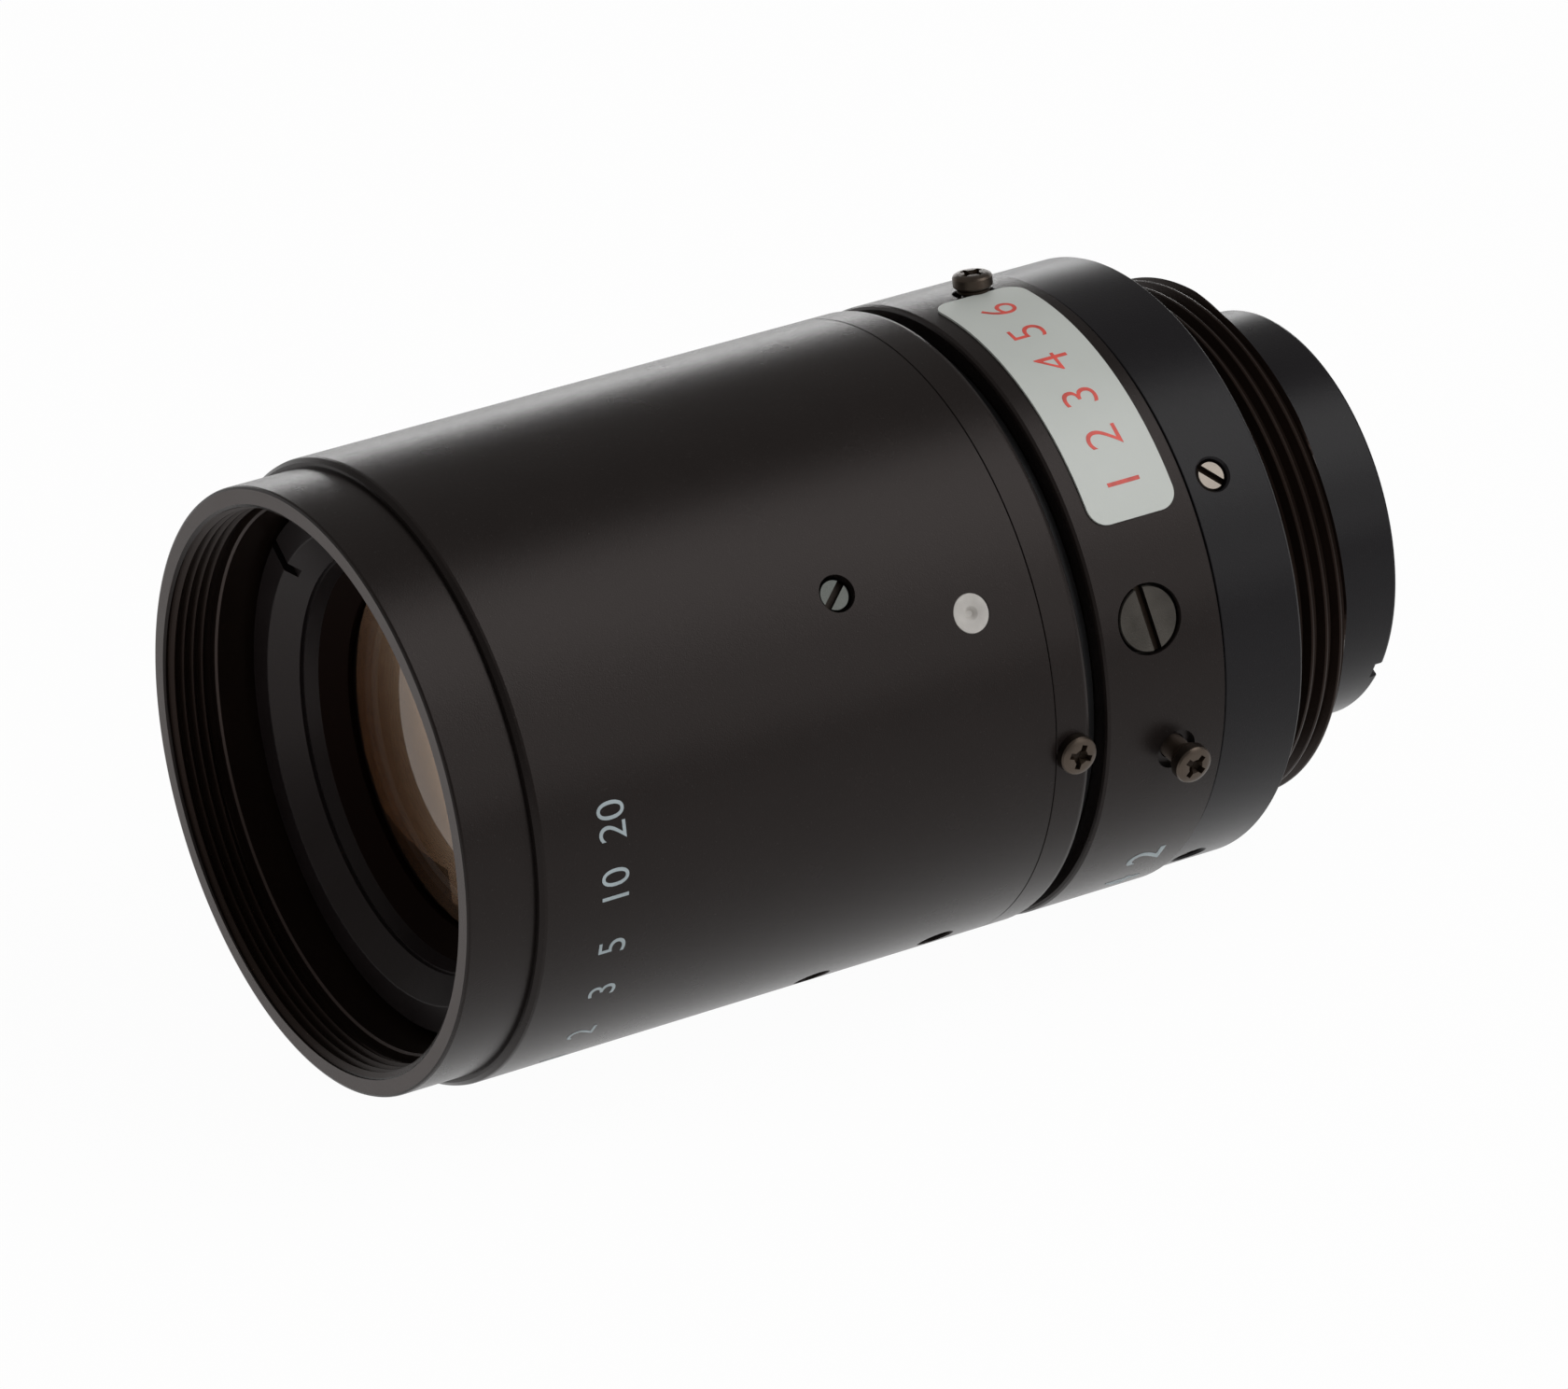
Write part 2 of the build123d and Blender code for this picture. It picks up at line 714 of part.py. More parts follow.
iris_ring_bore = main_barrel_radius + running_fit
drive_screw_seat = iris_ring_radius - drive_screw_seat_depth
drive_screw_plane = radial_plane(drive_screw_station, drive_screw_angle, iris_ring_radius)
iris_lock_angles = [iris_lock_upper_angle, iris_lock_side_angle]
iris_lock_planes = [
    radial_plane(iris_lock_station, angle, iris_ring_radius) for angle in iris_lock_angles
]

with BuildPart() as iris_ring:
    with BuildSketch(half_section):
        with BuildLine():
            Polyline(
                (iris_ring_bore, iris_ring_rear),
                (iris_ring_radius, iris_ring_rear),
                (iris_ring_radius, iris_ring_front - iris_ring_chamfer),
                (iris_ring_radius - iris_ring_chamfer, iris_ring_front),
                (iris_ring_bore, iris_ring_front),
                close=True,
            )
        make_face()
    revolve(axis=Axis.Y)
    # Seat and hole of the drive screw
    with BuildSketch(drive_screw_plane):
        Circle(drive_screw_head_radius + 5 * assembly_fit)
    extrude(amount=-drive_screw_seat_depth, mode=Mode.SUBTRACT)
    with BuildSketch(drive_screw_plane):
        Circle(drive_screw_shank_radius + assembly_fit)
    extrude(amount=-(iris_ring_radius - iris_ring_bore) - 0.2, mode=Mode.SUBTRACT)
    # Holes of the two lock screws
    with BuildSketch(*iris_lock_planes):
        Circle(lock_shank_radius + running_fit)
    extrude(amount=-(iris_ring_radius - iris_ring_bore) - 0.2, mode=Mode.SUBTRACT)
    with BuildSketch(*iris_lock_planes):
        Circle(lock_counterbore_radius)
    extrude(amount=-lock_counterbore_depth, mode=Mode.SUBTRACT)
iris_ring.part.label = "iris_ring"
export_step(iris_ring.part, "parts/iris_ring.step")

drive_screw_top = drive_screw_seat + drive_screw_head_height
drive_screw_shank_end = iris_ring_bore + running_fit
drive_screw_tip_end = cam_skirt_bore + 0.2

with BuildPart() as iris_drive_screw:
    with BuildSketch(radial_plane(drive_screw_station, drive_screw_angle, drive_screw_seat)):
        Circle(drive_screw_head_radius)
    extrude(amount=drive_screw_head_height)
    with BuildSketch(radial_plane(drive_screw_station, drive_screw_angle, drive_screw_seat)):
        Circle(drive_screw_shank_radius)
    extrude(amount=drive_screw_shank_end - drive_screw_seat)
    with BuildSketch(radial_plane(drive_screw_station, drive_screw_angle, drive_screw_shank_end)):
        Circle(drive_screw_tip_radius)
    extrude(amount=drive_screw_tip_end - drive_screw_shank_end)
    with BuildSketch(radial_plane(drive_screw_station, drive_screw_angle, drive_screw_top)):
        Rectangle(
            3 * drive_screw_head_radius,
            drive_screw_slot_width,
            rotation=90 + drive_screw_slot_turn,
        )
    extrude(amount=-slot_depth, mode=Mode.SUBTRACT)
iris_drive_screw.part.label = "iris_drive_screw"
export_step(iris_drive_screw.part, "parts/iris_drive_screw.step")

label_turn = label_end - label_start

with BuildPart() as number_label:
    with BuildSketch(section_plane(label_start)):
        with BuildLine():
            Polyline(
                (iris_ring_radius, label_rear),
                (iris_ring_radius + label_thickness, label_rear),
                (iris_ring_radius + label_thickness, label_front),
                (iris_ring_radius, label_front),
                close=True,
            )
        make_face()
    revolve(axis=Axis.Y, revolution_arc=label_turn)
    fillet(number_label.edges().sort_by(SortBy.LENGTH)[:4], label_corner)
number_label.part.label = "number_label"
export_step(number_label.part, "parts/number_label.step")


# Lock screws: each shows its head above the ring by its lift from the locked place

lock_tip_locked = iris_ring_bore
lock_screws = [
    ("iris_lock_screw_upper", iris_lock_station, iris_lock_upper_angle, iris_lock_upper_lift, 20.0),
    ("iris_lock_screw_side", iris_lock_station, iris_lock_side_angle, iris_lock_side_lift, 50.0),
    ("focus_lock_screw", focus_lock_station, focus_lock_angle, 0.0, 70.0),
]

for lock_name, lock_station, lock_angle, lock_lift, recess_turn in lock_screws:
    lock_tip = lock_tip_locked + lock_lift
    lock_collar = lock_tip + lock_shank_length
    lock_top = lock_collar + lock_head_height
    with BuildPart() as lock_screw:
        with BuildSketch(radial_plane(lock_station, lock_angle, lock_tip)):
            Circle(lock_shank_radius)
        extrude(amount=lock_shank_length)
        with BuildSketch(radial_plane(lock_station, lock_angle, lock_collar)):
            Circle(lock_head_radius)
        extrude(amount=lock_head_height)
        with BuildSketch(radial_plane(lock_station, lock_angle, lock_top)):
            Rectangle(lock_recess_length, lock_recess_width, rotation=recess_turn)
            Rectangle(lock_recess_width, lock_recess_length, rotation=recess_turn)
        extrude(amount=-lock_recess_depth, mode=Mode.SUBTRACT)
        head_edges = lock_screw.edges().filter_by(GeomType.CIRCLE).sort_by(SortBy.RADIUS)[-2:]
        outward = radial_plane(lock_station, lock_angle, 0).z_dir
        chamfer(head_edges.sort_by(Axis((0, 0, 0), outward))[-1], lock_head_chamfer)
    lock_screw.part.label = lock_name
    export_step(lock_screw.part, f"parts/{lock_name}.step")


# Focus ring and the barrel around it

focus_collar_front = focus_ring_rear + focus_collar_length
flange_rear = main_barrel_front + running_fit
flange_front = flange_rear + front_cell_flange_length
focus_sleeve_front = flange_rear - running_fit
barrel_bore = focus_sleeve_radius + assembly_fit
barrel_rear = focus_collar_front + barrel_seam
screw_seat_radius = focus_sleeve_radius - barrel_screw_seat_depth
screw_groove_width = 2 * (barrel_screw_radius + running_fit)
barrel_screw_places = [(barrel_screw_station, angle) for angle in barrel_screw_angles]
barrel_screw_places.append((extra_screw_station, extra_screw_angle))

with BuildPart() as focus_ring:
    with BuildSketch(half_section):
        with BuildLine():
            Polyline(
                (focus_bore, focus_ring_rear),
                (barrel_radius - focus_collar_chamfer, focus_ring_rear),
                (barrel_radius, focus_ring_rear + focus_collar_chamfer),
                (barrel_radius, focus_collar_front),
                (focus_sleeve_radius, focus_collar_front),
                (focus_sleeve_radius, barrel_screw_station - screw_groove_width / 2),
                (screw_seat_radius, barrel_screw_station - screw_groove_width / 2),
                (screw_seat_radius, barrel_screw_station + screw_groove_width / 2),
                (focus_sleeve_radius, barrel_screw_station + screw_groove_width / 2),
                (focus_sleeve_radius, focus_sleeve_front),
                (focus_bore, focus_sleeve_front),
                close=True,
            )
        make_face()
    revolve(axis=Axis.Y)
    # Seat drilled for the tip of the single set screw
    with BuildSketch(radial_plane(extra_screw_station, extra_screw_angle, screw_seat_radius)):
        Circle(barrel_screw_hole_radius)
    extrude(amount=2 * barrel_screw_seat_depth, mode=Mode.SUBTRACT)
    # Hole of the lock screw
    with BuildSketch(radial_plane(focus_lock_station, focus_lock_angle, barrel_radius)):
        Circle(lock_shank_radius + running_fit)
    extrude(amount=-(barrel_radius - focus_bore) - 0.2, mode=Mode.SUBTRACT)
focus_ring.part.label = "focus_ring"
export_step(focus_ring.part, "parts/focus_ring.step")

with BuildPart() as focus_barrel:
    with BuildSketch(half_section):
        with BuildLine():
            Polyline(
                (barrel_bore, barrel_rear),
                (barrel_radius, barrel_rear),
                (barrel_radius, barrel_front - barrel_edge_chamfer),
                (barrel_radius - barrel_edge_chamfer, barrel_front),
                (barrel_bore, barrel_front),
                close=True,
            )
        make_face()
    revolve(axis=Axis.Y)
    # Holes of the set screws
    with BuildSketch(
        *[radial_plane(place[0], place[1], barrel_radius) for place in barrel_screw_places]
    ):
        Circle(barrel_screw_hole_radius)
    extrude(amount=-(barrel_radius - barrel_bore) - 0.2, mode=Mode.SUBTRACT)
    # Recess of the index dot
    with BuildSketch(radial_plane(dot_station, dot_angle, barrel_radius)):
        Circle(dot_radius)
    extrude(amount=-dot_depth, mode=Mode.SUBTRACT)
focus_barrel.part.label = "focus_barrel"
export_step(focus_barrel.part, "parts/focus_barrel.step")

barrel_screw_top = barrel_radius - barrel_screw_recess
barrel_screw_planes = [
    radial_plane(place[0], place[1], barrel_screw_top) for place in barrel_screw_places
]

with BuildPart() as barrel_set_screws:
    with BuildSketch(*barrel_screw_planes):
        Circle(barrel_screw_radius)
    extrude(amount=screw_seat_radius - barrel_screw_top)
    with BuildSketch(*barrel_screw_planes):
        Rectangle(3 * barrel_screw_radius, slot_width, rotation=barrel_screw_slot_turn)
    extrude(amount=-slot_depth, mode=Mode.SUBTRACT)
barrel_set_screws.part.label = "barrel_set_screws"
export_step(barrel_set_screws.part, "parts/barrel_set_screws.step")

dot_top = sqrt(barrel_radius**2 - dot_radius**2)

with BuildPart() as index_dot:
    with BuildSketch(radial_plane(dot_station, dot_angle, dot_top)):
        Circle(dot_radius)
    extrude(amount=barrel_radius - dot_depth - dot_top)
    with BuildSketch(radial_plane(dot_station, dot_angle, dot_top)):
        Circle(dot_dimple_radius)
    extrude(amount=-dot_depth / 2, taper=45, mode=Mode.SUBTRACT)
index_dot.part.label = "index_dot"
export_step(index_dot.part, "parts/index_dot.step")


# Front rim

rim_rear = flange_front + running_fit
filter_floor = rim_front - filter_depth

with BuildPart() as front_rim:
    with BuildSketch(half_section):
        with BuildLine():
            Polyline(
                (rim_bore, rim_rear),
                (focus_sleeve_radius, rim_rear),
                (focus_sleeve_radius, barrel_front),
                (rim_radius, barrel_front),
                (rim_radius, rim_front - rim_chamfer),
                (rim_radius - rim_chamfer, rim_front),
                (filter_bore + filter_lead_chamfer, rim_front),
                (filter_bore, rim_front - filter_lead_chamfer),
                (filter_bore, filter_floor),
                (rim_bore, filter_floor),
                close=True,
            )
        make_face()
    revolve(axis=Axis.Y)
front_rim.part.label = "front_rim"
export_step(front_rim.part, "parts/front_rim.step")


# Front cell and its lenses

front_cell_radius = main_barrel_bore - running_fit
front_lens_bore = front_lens_radius + assembly_fit
ring_seat_bore = front_ring_seat_radius + assembly_fit
doublet_bore = doublet_radius + assembly_fit
lip_front = station_of(doublet_rear_vertex, doublet_rear_curve, doublet_clear_radius)
cell_tail_end = lip_front - cell_lip_thickness
cell_tail_bore = front_cell_radius - cell_tail_wall
key_slot_rear = guide_pin_station - guide_pin_radius - key_slot_end_gap - focus_travel
key_slot_front = guide_pin_station + guide_pin_radius + key_slot_end_gap
key_slot_width = 2 * (guide_pin_radius + pin_fit)

with BuildPart() as front_cell:
    with BuildSketch(half_section):
        with BuildLine():
            Polyline(
                (cell_tail_bore, front_cell_rear),
                (front_cell_radius, front_cell_rear),
                (front_cell_radius, flange_rear),
                (focus_sleeve_radius - running_fit, flange_rear),
                (focus_sleeve_radius - running_fit, flange_front),
                (front_cell_neck_radius, flange_front),
                (front_cell_neck_radius, front_cell_front),
                (ring_seat_bore, front_cell_front),
                (ring_seat_bore, front_cell_front - front_ring_seat_depth),
                (front_lens_bore, front_cell_front - front_ring_seat_depth),
                (front_lens_bore, second_seat_station),
                (doublet_bore, second_seat_station),
                (doublet_bore, lip_front),
                (cell_lip_bore, lip_front),
                (cell_lip_bore, cell_tail_end),
                (cell_tail_bore, cell_tail_end),
                close=True,
            )
        make_face()
    revolve(axis=Axis.Y)
    # Slot that slides along the guide pin
    with BuildSketch(
        radial_plane((key_slot_rear + key_slot_front) / 2, guide_pin_angle, front_cell_radius)
    ):
        Rectangle(key_slot_front - key_slot_rear, key_slot_width)
    extrude(amount=-(front_cell_radius - cell_tail_bore) - 0.2, mode=Mode.SUBTRACT)
front_cell.part.label = "front_cell"
export_step(front_cell.part, "parts/front_cell.step")

with BuildPart() as front_element:
    with BuildSketch(half_section):
        with BuildLine():
            front_edge = lens_side(front_vertex, front_curve, front_lens_radius, front_lens_radius)
            rear_edge = lens_side(
                front_rear_vertex, -front_rear_curve, front_lens_radius, front_lens_radius
            )
            Line((front_lens_radius, front_edge), (front_lens_radius, rear_edge))
            Line((0, front_vertex), (0, front_rear_vertex))
        make_face()
    revolve(axis=Axis.Y)
front_element.part.label = "front_element"
export_step(front_element.part, "parts/front_element.step")

second_rear_vertex = 2 * second_seat_station - station_of(
    second_seat_station, second_rear_curve, front_lens_radius
)

with BuildPart() as second_element:
    with BuildSketch(half_section):
        with BuildLine():
            front_edge = lens_side(second_vertex, second_curve, front_lens_radius, front_lens_radius)
            rear_edge = lens_side(
                second_rear_vertex, second_rear_curve, front_lens_radius, front_lens_radius
            )
            Line((front_lens_radius, front_edge), (front_lens_radius, rear_edge))
            Line((0, second_vertex), (0, second_rear_vertex))
        make_face()
    revolve(axis=Axis.Y)
second_element.part.label = "second_element"
export_step(second_element.part, "parts/second_element.step")

front_spacer_bore = front_lens_radius - front_spacer_wall
front_spacer_rear = station_of(second_vertex, second_curve, front_spacer_bore)
front_spacer_front = station_of(front_rear_vertex, -front_rear_curve, front_spacer_bore)

with BuildPart() as front_spacer:
    with BuildSketch(half_section):
        with BuildLine():
            Polyline(
                (front_spacer_bore, front_spacer_rear),
                (front_lens_radius, front_spacer_rear),
                (front_lens_radius, front_spacer_front),
                (front_spacer_bore, front_spacer_front),
                close=True,
            )
        make_face()
    revolve(axis=Axis.Y)
front_spacer.part.label = "front_spacer"
export_step(front_spacer.part, "parts/front_spacer.step")

with BuildPart() as front_doublet_outer:
    with BuildSketch(half_section):
        with BuildLine():
            rim = lens_side(doublet_vertex, doublet_curve, doublet_radius, doublet_radius)
            lens_side(doublet_cement_station, 0, doublet_radius, doublet_radius)
            Line((doublet_radius, rim), (doublet_radius, doublet_cement_station))
            Line((0, doublet_vertex), (0, doublet_cement_station))
        make_face()
    revolve(axis=Axis.Y)
front_doublet_outer.part.label = "front_doublet_outer"
export_step(front_doublet_outer.part, "parts/front_doublet_outer.step")

with BuildPart() as front_doublet_inner:
    with BuildSketch(half_section):
        with BuildLine():
            lens_side(doublet_cement_station, 0, doublet_radius, doublet_radius)
            rim = lens_side(
                doublet_rear_vertex, doublet_rear_curve, doublet_clear_radius, doublet_radius
            )
            Line((doublet_radius, rim), (doublet_radius, doublet_cement_station))
            Line((0, doublet_rear_vertex), (0, doublet_cement_station))
        make_face()
    revolve(axis=Axis.Y)
front_doublet_inner.part.label = "front_doublet_inner"
export_step(front_doublet_inner.part, "parts/front_doublet_inner.step")

doublet_ring_bore = doublet_radius - doublet_ring_wall
doublet_ring_rear = station_of(doublet_vertex, doublet_curve, doublet_ring_bore)
doublet_ring_front = doublet_ring_rear + doublet_ring_length

with BuildPart() as doublet_retaining_ring:
    with BuildSketch(cross_plane(doublet_ring_rear)):
        Circle(doublet_bore)
        Circle(doublet_ring_bore, mode=Mode.SUBTRACT)
    extrude(amount=doublet_ring_length)
    with BuildSketch(cross_plane(doublet_ring_front)):
        Rectangle(3 * doublet_bore, spanner_slot_width)
    extrude(amount=-rim_notch_depth, mode=Mode.SUBTRACT)
doublet_retaining_ring.part.label = "doublet_retaining_ring"
export_step(doublet_retaining_ring.part, "parts/doublet_retaining_ring.step")

retainer_face = front_cell_front + retainer_flange_thickness
retainer_cone_end = retainer_face - retainer_cone_depth
retainer_step = retainer_cone_end - retainer_step_depth
retainer_band_end = retainer_step - retainer_band_depth
retainer_lip_rear = station_of(front_vertex, front_curve, retainer_lip_radius)
retainer_seat = front_cell_front - front_ring_seat_depth + assembly_fit

with BuildPart() as front_retaining_ring:
    with BuildSketch(half_section):
        with BuildLine():
            Polyline(
                (retainer_lip_radius, retainer_lip_rear),
                (front_lens_radius, retainer_lip_rear),
                (front_lens_radius, retainer_seat),
                (front_ring_seat_radius, retainer_seat),
                (front_ring_seat_radius, front_cell_front),
                (front_cell_neck_radius, front_cell_front),
                (front_cell_neck_radius, retainer_face),
                (retainer_face_radius, retainer_face),
                (retainer_cone_radius, retainer_cone_end),
                (retainer_cone_radius, retainer_step),
                (retainer_step_radius, retainer_step),
                (retainer_band_radius, retainer_band_end),
                (retainer_lip_radius, retainer_lip_rear + retainer_lip_thickness),
                close=True,
            )
        make_face()
    revolve(axis=Axis.Y)
    # Two slots for a spanner, open through the face of the ring
    with BuildSketch(cross_plane(retainer_face, 90 - spanner_slot_angle)):
        Rectangle(3 * front_cell_neck_radius, spanner_slot_width)
    extrude(amount=-spanner_slot_depth, mode=Mode.SUBTRACT)
front_retaining_ring.part.label = "front_retaining_ring"
export_step(front_retaining_ring.part, "parts/front_retaining_ring.step")
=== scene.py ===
import json
from math import atan2, cos, degrees, hypot, pi, radians, sin, sqrt

import bmesh
import bpy
from mathutils import Matrix, Vector

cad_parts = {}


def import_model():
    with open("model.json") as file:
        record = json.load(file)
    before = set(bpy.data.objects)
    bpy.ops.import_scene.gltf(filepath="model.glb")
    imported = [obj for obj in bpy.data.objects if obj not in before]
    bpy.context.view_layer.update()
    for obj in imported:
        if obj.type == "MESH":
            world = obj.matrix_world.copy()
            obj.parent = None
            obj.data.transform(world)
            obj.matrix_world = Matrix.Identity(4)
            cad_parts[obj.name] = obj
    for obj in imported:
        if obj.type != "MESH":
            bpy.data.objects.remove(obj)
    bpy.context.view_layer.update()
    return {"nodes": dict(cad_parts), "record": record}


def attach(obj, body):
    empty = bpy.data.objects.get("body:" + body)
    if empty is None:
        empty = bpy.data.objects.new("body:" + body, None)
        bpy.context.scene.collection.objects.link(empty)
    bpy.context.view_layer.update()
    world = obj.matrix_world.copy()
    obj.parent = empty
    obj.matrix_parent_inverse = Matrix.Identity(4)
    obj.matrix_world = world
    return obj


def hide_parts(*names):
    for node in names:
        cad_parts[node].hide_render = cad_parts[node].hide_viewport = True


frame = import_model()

# Lengths are in millimetres and become metres in place() and small().
# Heights of small parts are radii from the optical axis.
# A station runs along the optical axis from the mount flange towards the front.
# An angle about the axis is 0 at the top and grows clockwise seen from the front.
MM = 0.001
RINGS = 288
SKIN = 0.01          # tells faces on a surface from those beside it

# Rear housing and mount thread
THREAD_R = 12.70
THREAD_ROOT_R = 12.22
THREAD_END = -4.06
THREAD_START = -1.20
THREAD_PITCH = 0.79375
THREAD_CREST = (-1.80, 54.0)
THREAD_FLATS = (0.16, 0.12)
THREAD_END_SLOPE = 9
THREAD_RUNOUT_SLOPE = 1.9
RELIEF_R = 11.90
MOUNT_BORE = 10.40
FLANGE_STEP_R = THREAD_R + 0.10
FLANGE_STEP = 0.12
FLANGE_WEB = 0.20
HOUSING_R = 14.62
HOUSING_BORE = 11.62
HOUSING_FRONT = 4.40
HOUSING_SCREWS = [(2.87, angle) for angle in (48.6, 138.6, 228.6, 318.6)]

# Rear tube
TUBE_R = 10.00
TUBE_END = -8.53
TUBE_FRONT = -0.60
CELL_R = 10.38
CELL_BORE = 8.02
REAR_CELL_FRONT = 3.85
GLASS_STOP_R = 6.30
GLASS_STOP = 3.28
NOTCH_ANGLE = 117.0
NOTCH_LENGTH = 0.90
NOTCH_WIDTH = 1.0
NOTCH_CUT = (7.0, 11.0)

# Iris ring
IRIS_R = 14.83
IRIS_REAR = 4.54
IRIS_FRONT = 11.15
IRIS_BORE = 13.25
DRIVE_AT = (8.33, 70.5)
DRIVE_SEAT = 13.97
DRIVE_TOP = 14.72
LOCK_SEAT = 14.48
LOCK_UPPER_AT = (7.20, -10.5)
LOCK_SIDE_AT = (7.20, 97.0)
FOCUS_LOCK_AT = (13.00, 91.0)
LABEL_S = (5.30, 10.05)
LABEL_ANGLES = (-7.5, 52.4)
LABEL_R = 14.93
LABEL_CORNER = 0.95

# Focus ring and barrel
COLLAR_REAR = 12.00
COLLAR_FRONT = 13.93
SLEEVE_R = 13.90
SLEEVE_FRONT = 30.00
SLEEVE_BORE = 13.25
BARREL_R = 14.84
BARREL_BORE = 13.92
BARREL_REAR = 13.97
BARREL_FRONT = 41.50
BARREL_SCREWS = [(23.78, angle) for angle in (50.7, 140.7, 230.7, 320.7)] + [(17.20, 139.0)]
DOT_AT = (17.44, 60.6)
DOT_FLOOR = 14.54
CUT_TOP = 15.0       # cutters end outside every shell

# Front rim
RIM_R = 14.38
RIM_FRONT = 45.00
RIM_REAR = 31.55
RIM_BORE = 13.00
FILTER_R = 13.23
FILTER_ROOT_R = 13.52
FILTER_FLOOR = 42.49
FILTER_PITCH = 0.50
FILTER_CREST = (44.66, 180.0)
FILTER_FLATS = (0.14, 0.12)

# Front glass and its ring
CELL_FRONT = 38.90
RING_REAR = 37.752
RING_FACE = 40.72
RING_BORE = 8.61
SPANNER_ANGLE = -55
LENS_RINGS = 128
LENS_REAR_DEPTH = 0.6

# Print: each number with its angle
LABEL_DIGITS = [("1", 45.6), ("2", 36.6), ("3", 27.6), ("4", 18.6), ("5", 9.6), ("6", 0.6)]
BARREL_NUMBERS = [("1", 142.0), ("2", 128.0), ("3", 114.0), ("5", 103.0), ("10", 90.5), ("20", 78.0)]
RING_NUMBERS = [("4", 138.5), ("2", 126.5)]
INK = 0.006
BEND_STEP = 0.35

# Finishes
GRAIN_DEPTH = 0.00003
SPECK_TINT = (1.0, 0.92, 0.90)
SPECK_RANGE = (0.66, 0.80)
DUST_TINT = (1.0, 0.93, 0.88)
DUST_SCALE = 230
DUST_SIZE = 0.013
DUST_RARITY = 0.72
STREAK_SCALE = 400
STREAK_ROUGH = 0.006
STREAK_BUMP = 0.004
STREAK_DEPTH = 0.000002

# Camera and studio, in metres and degrees
CAMERA_LENS = 227.04
CAMERA_AT = (0.34708, -0.23778, 0.21284)
CAMERA_RIGHT = (0.5326, 0.8464, 0.0)
CAMERA_BACK = (0.7497, -0.4717, 0.4642)
LIGHTS_AIM = (0, -0.02, 0)
FLOOR_HALF = 3.0
FLOOR_CELLS = 24
FLOOR_GAP = 0.00002
FLOOR_WHITE = 0.97
BACKDROP_DISTANCE = 0.60
BACKDROP_TOP = 0.10
BACKDROP_MIDDLE = -58.0
BACKDROP_SPAN = 150.0
BACKDROP_CELLS = 32
ROOM_COLOUR = (1.0, 0.98, 0.96)
ROOM_LEVEL = 0.32
SOFTBOX_AT = (0.22, 0.28, 0.49)
SOFTBOX_SIZE = 0.42
SOFTBOX_POWER = 1.45
SIDE_BOX_AT = (0.52, 0.29, 0.23)
SIDE_BOX_SIZE = 0.36
SIDE_BOX_POWER = 0.62
LOW_BOX_AT = (-0.50, 0.27, 0.015)
LOW_BOX_SIZE = (0.46, 0.06)
LOW_BOX_POWER = 0.34


# Geometry helpers

def place(radius, angle, station):
    """Point on the lens, in metres."""
    turn = radians(angle)
    return Vector((radius * sin(turn), -station, radius * cos(turn))) * MM


def small(station, angle):
    """Frame for a small part set into the lens: x to the front, z outwards from the axis."""
    turn = radians(angle)
    out = Vector((sin(turn), 0, cos(turn)))
    along = Vector((0, -1, 0))
    side = out.cross(along)
    base = place(0, angle, station)
    return Matrix((
        (along.x, side.x, out.x, base.x),
        (along.y, side.y, out.y, base.y),
        (along.z, side.z, out.z, base.z),
        (0, 0, 0, 1),
    ))


def new_object(name, bm, material=None):
    """Object made of a bmesh, with its faces turned outwards."""
    bmesh.ops.remove_doubles(bm, verts=bm.verts, dist=1e-7)
    bmesh.ops.recalc_face_normals(bm, faces=bm.faces)
    mesh = bpy.data.meshes.new(name)
    bm.to_mesh(mesh)
    bm.free()
    piece = bpy.data.objects.new(name, mesh)
    bpy.context.scene.collection.objects.link(piece)
    if material:
        mesh.materials.append(material)
    return piece


def smooth(piece, angle=24):
    """Smooth shading with sharp edges where faces meet at more than the angle."""
    piece.data.polygons.foreach_set("use_smooth", [True] * len(piece.data.polygons))
    piece.data.set_sharp_from_angle(angle=radians(angle))


def ring_loop(bm, profile, rings=RINGS, closed=True):
    """Quads of a profile of (radius, station) points turned about the optical axis."""
    grid = [
        [bm.verts.new(place(r, 360 * i / rings, s)) for r, s in profile] for i in range(rings)
    ]
    last = len(profile) if closed else len(profile) - 1
    for i in range(rings):
        near, far = grid[i], grid[(i + 1) % rings]
        for j in range(last):
            k = (j + 1) % len(profile)
            bm.faces.new((near[j], far[j], far[k], near[k]))


def turned(name, profile, material, rings=RINGS):
    """Ring-shaped piece turned about the optical axis."""
    bm = bmesh.new()
    ring_loop(bm, profile, rings)
    return new_object(name, bm, material)


def bridge(bm, rows):
    """Faces between rows of points. A row of one point closes the shape on its axis."""
    for below, above in zip(rows, rows[1:]):
        count = max(len(below), len(above))
        for i in range(count):
            k = (i + 1) % count
            if len(below) == 1:
                bm.faces.new((below[0], above[i], above[k]))
            elif len(above) == 1:
                bm.faces.new((below[i], below[k], above[0]))
            else:
                bm.faces.new((below[i], below[k], above[k], above[i]))


def disc_profile(bm, profile, matrix, rings=48):
    """Solid of a profile of (radius, height) that starts and ends on its own axis."""
    rows = []
    for r, h in profile:
        turns = [2 * pi * i / rings for i in range(rings if r else 1)]
        rows.append([
            bm.verts.new(matrix @ (Vector((r * cos(turn), r * sin(turn), h)) * MM))
            for turn in turns
        ])
    bridge(bm, rows)


def box_cutter(bm, matrix, length, width, low, high, turn=0.0):
    """Box in a small part's frame, length along its turned x."""
    spin = matrix @ Matrix.Rotation(radians(turn), 4, "Z")
    corners = [
        bm.verts.new(spin @ (Vector((x * length / 2, y * width / 2, z)) * MM))
        for z in (low, high)
        for x, y in ((-1, -1), (1, -1), (1, 1), (-1, 1))
    ]
    sides = [(0, 1, 2, 3), (4, 5, 6, 7)] + [(i, (i + 1) % 4, (i + 1) % 4 + 4, i + 4) for i in range(4)]
    for side in sides:
        bm.faces.new([corners[i] for i in side])


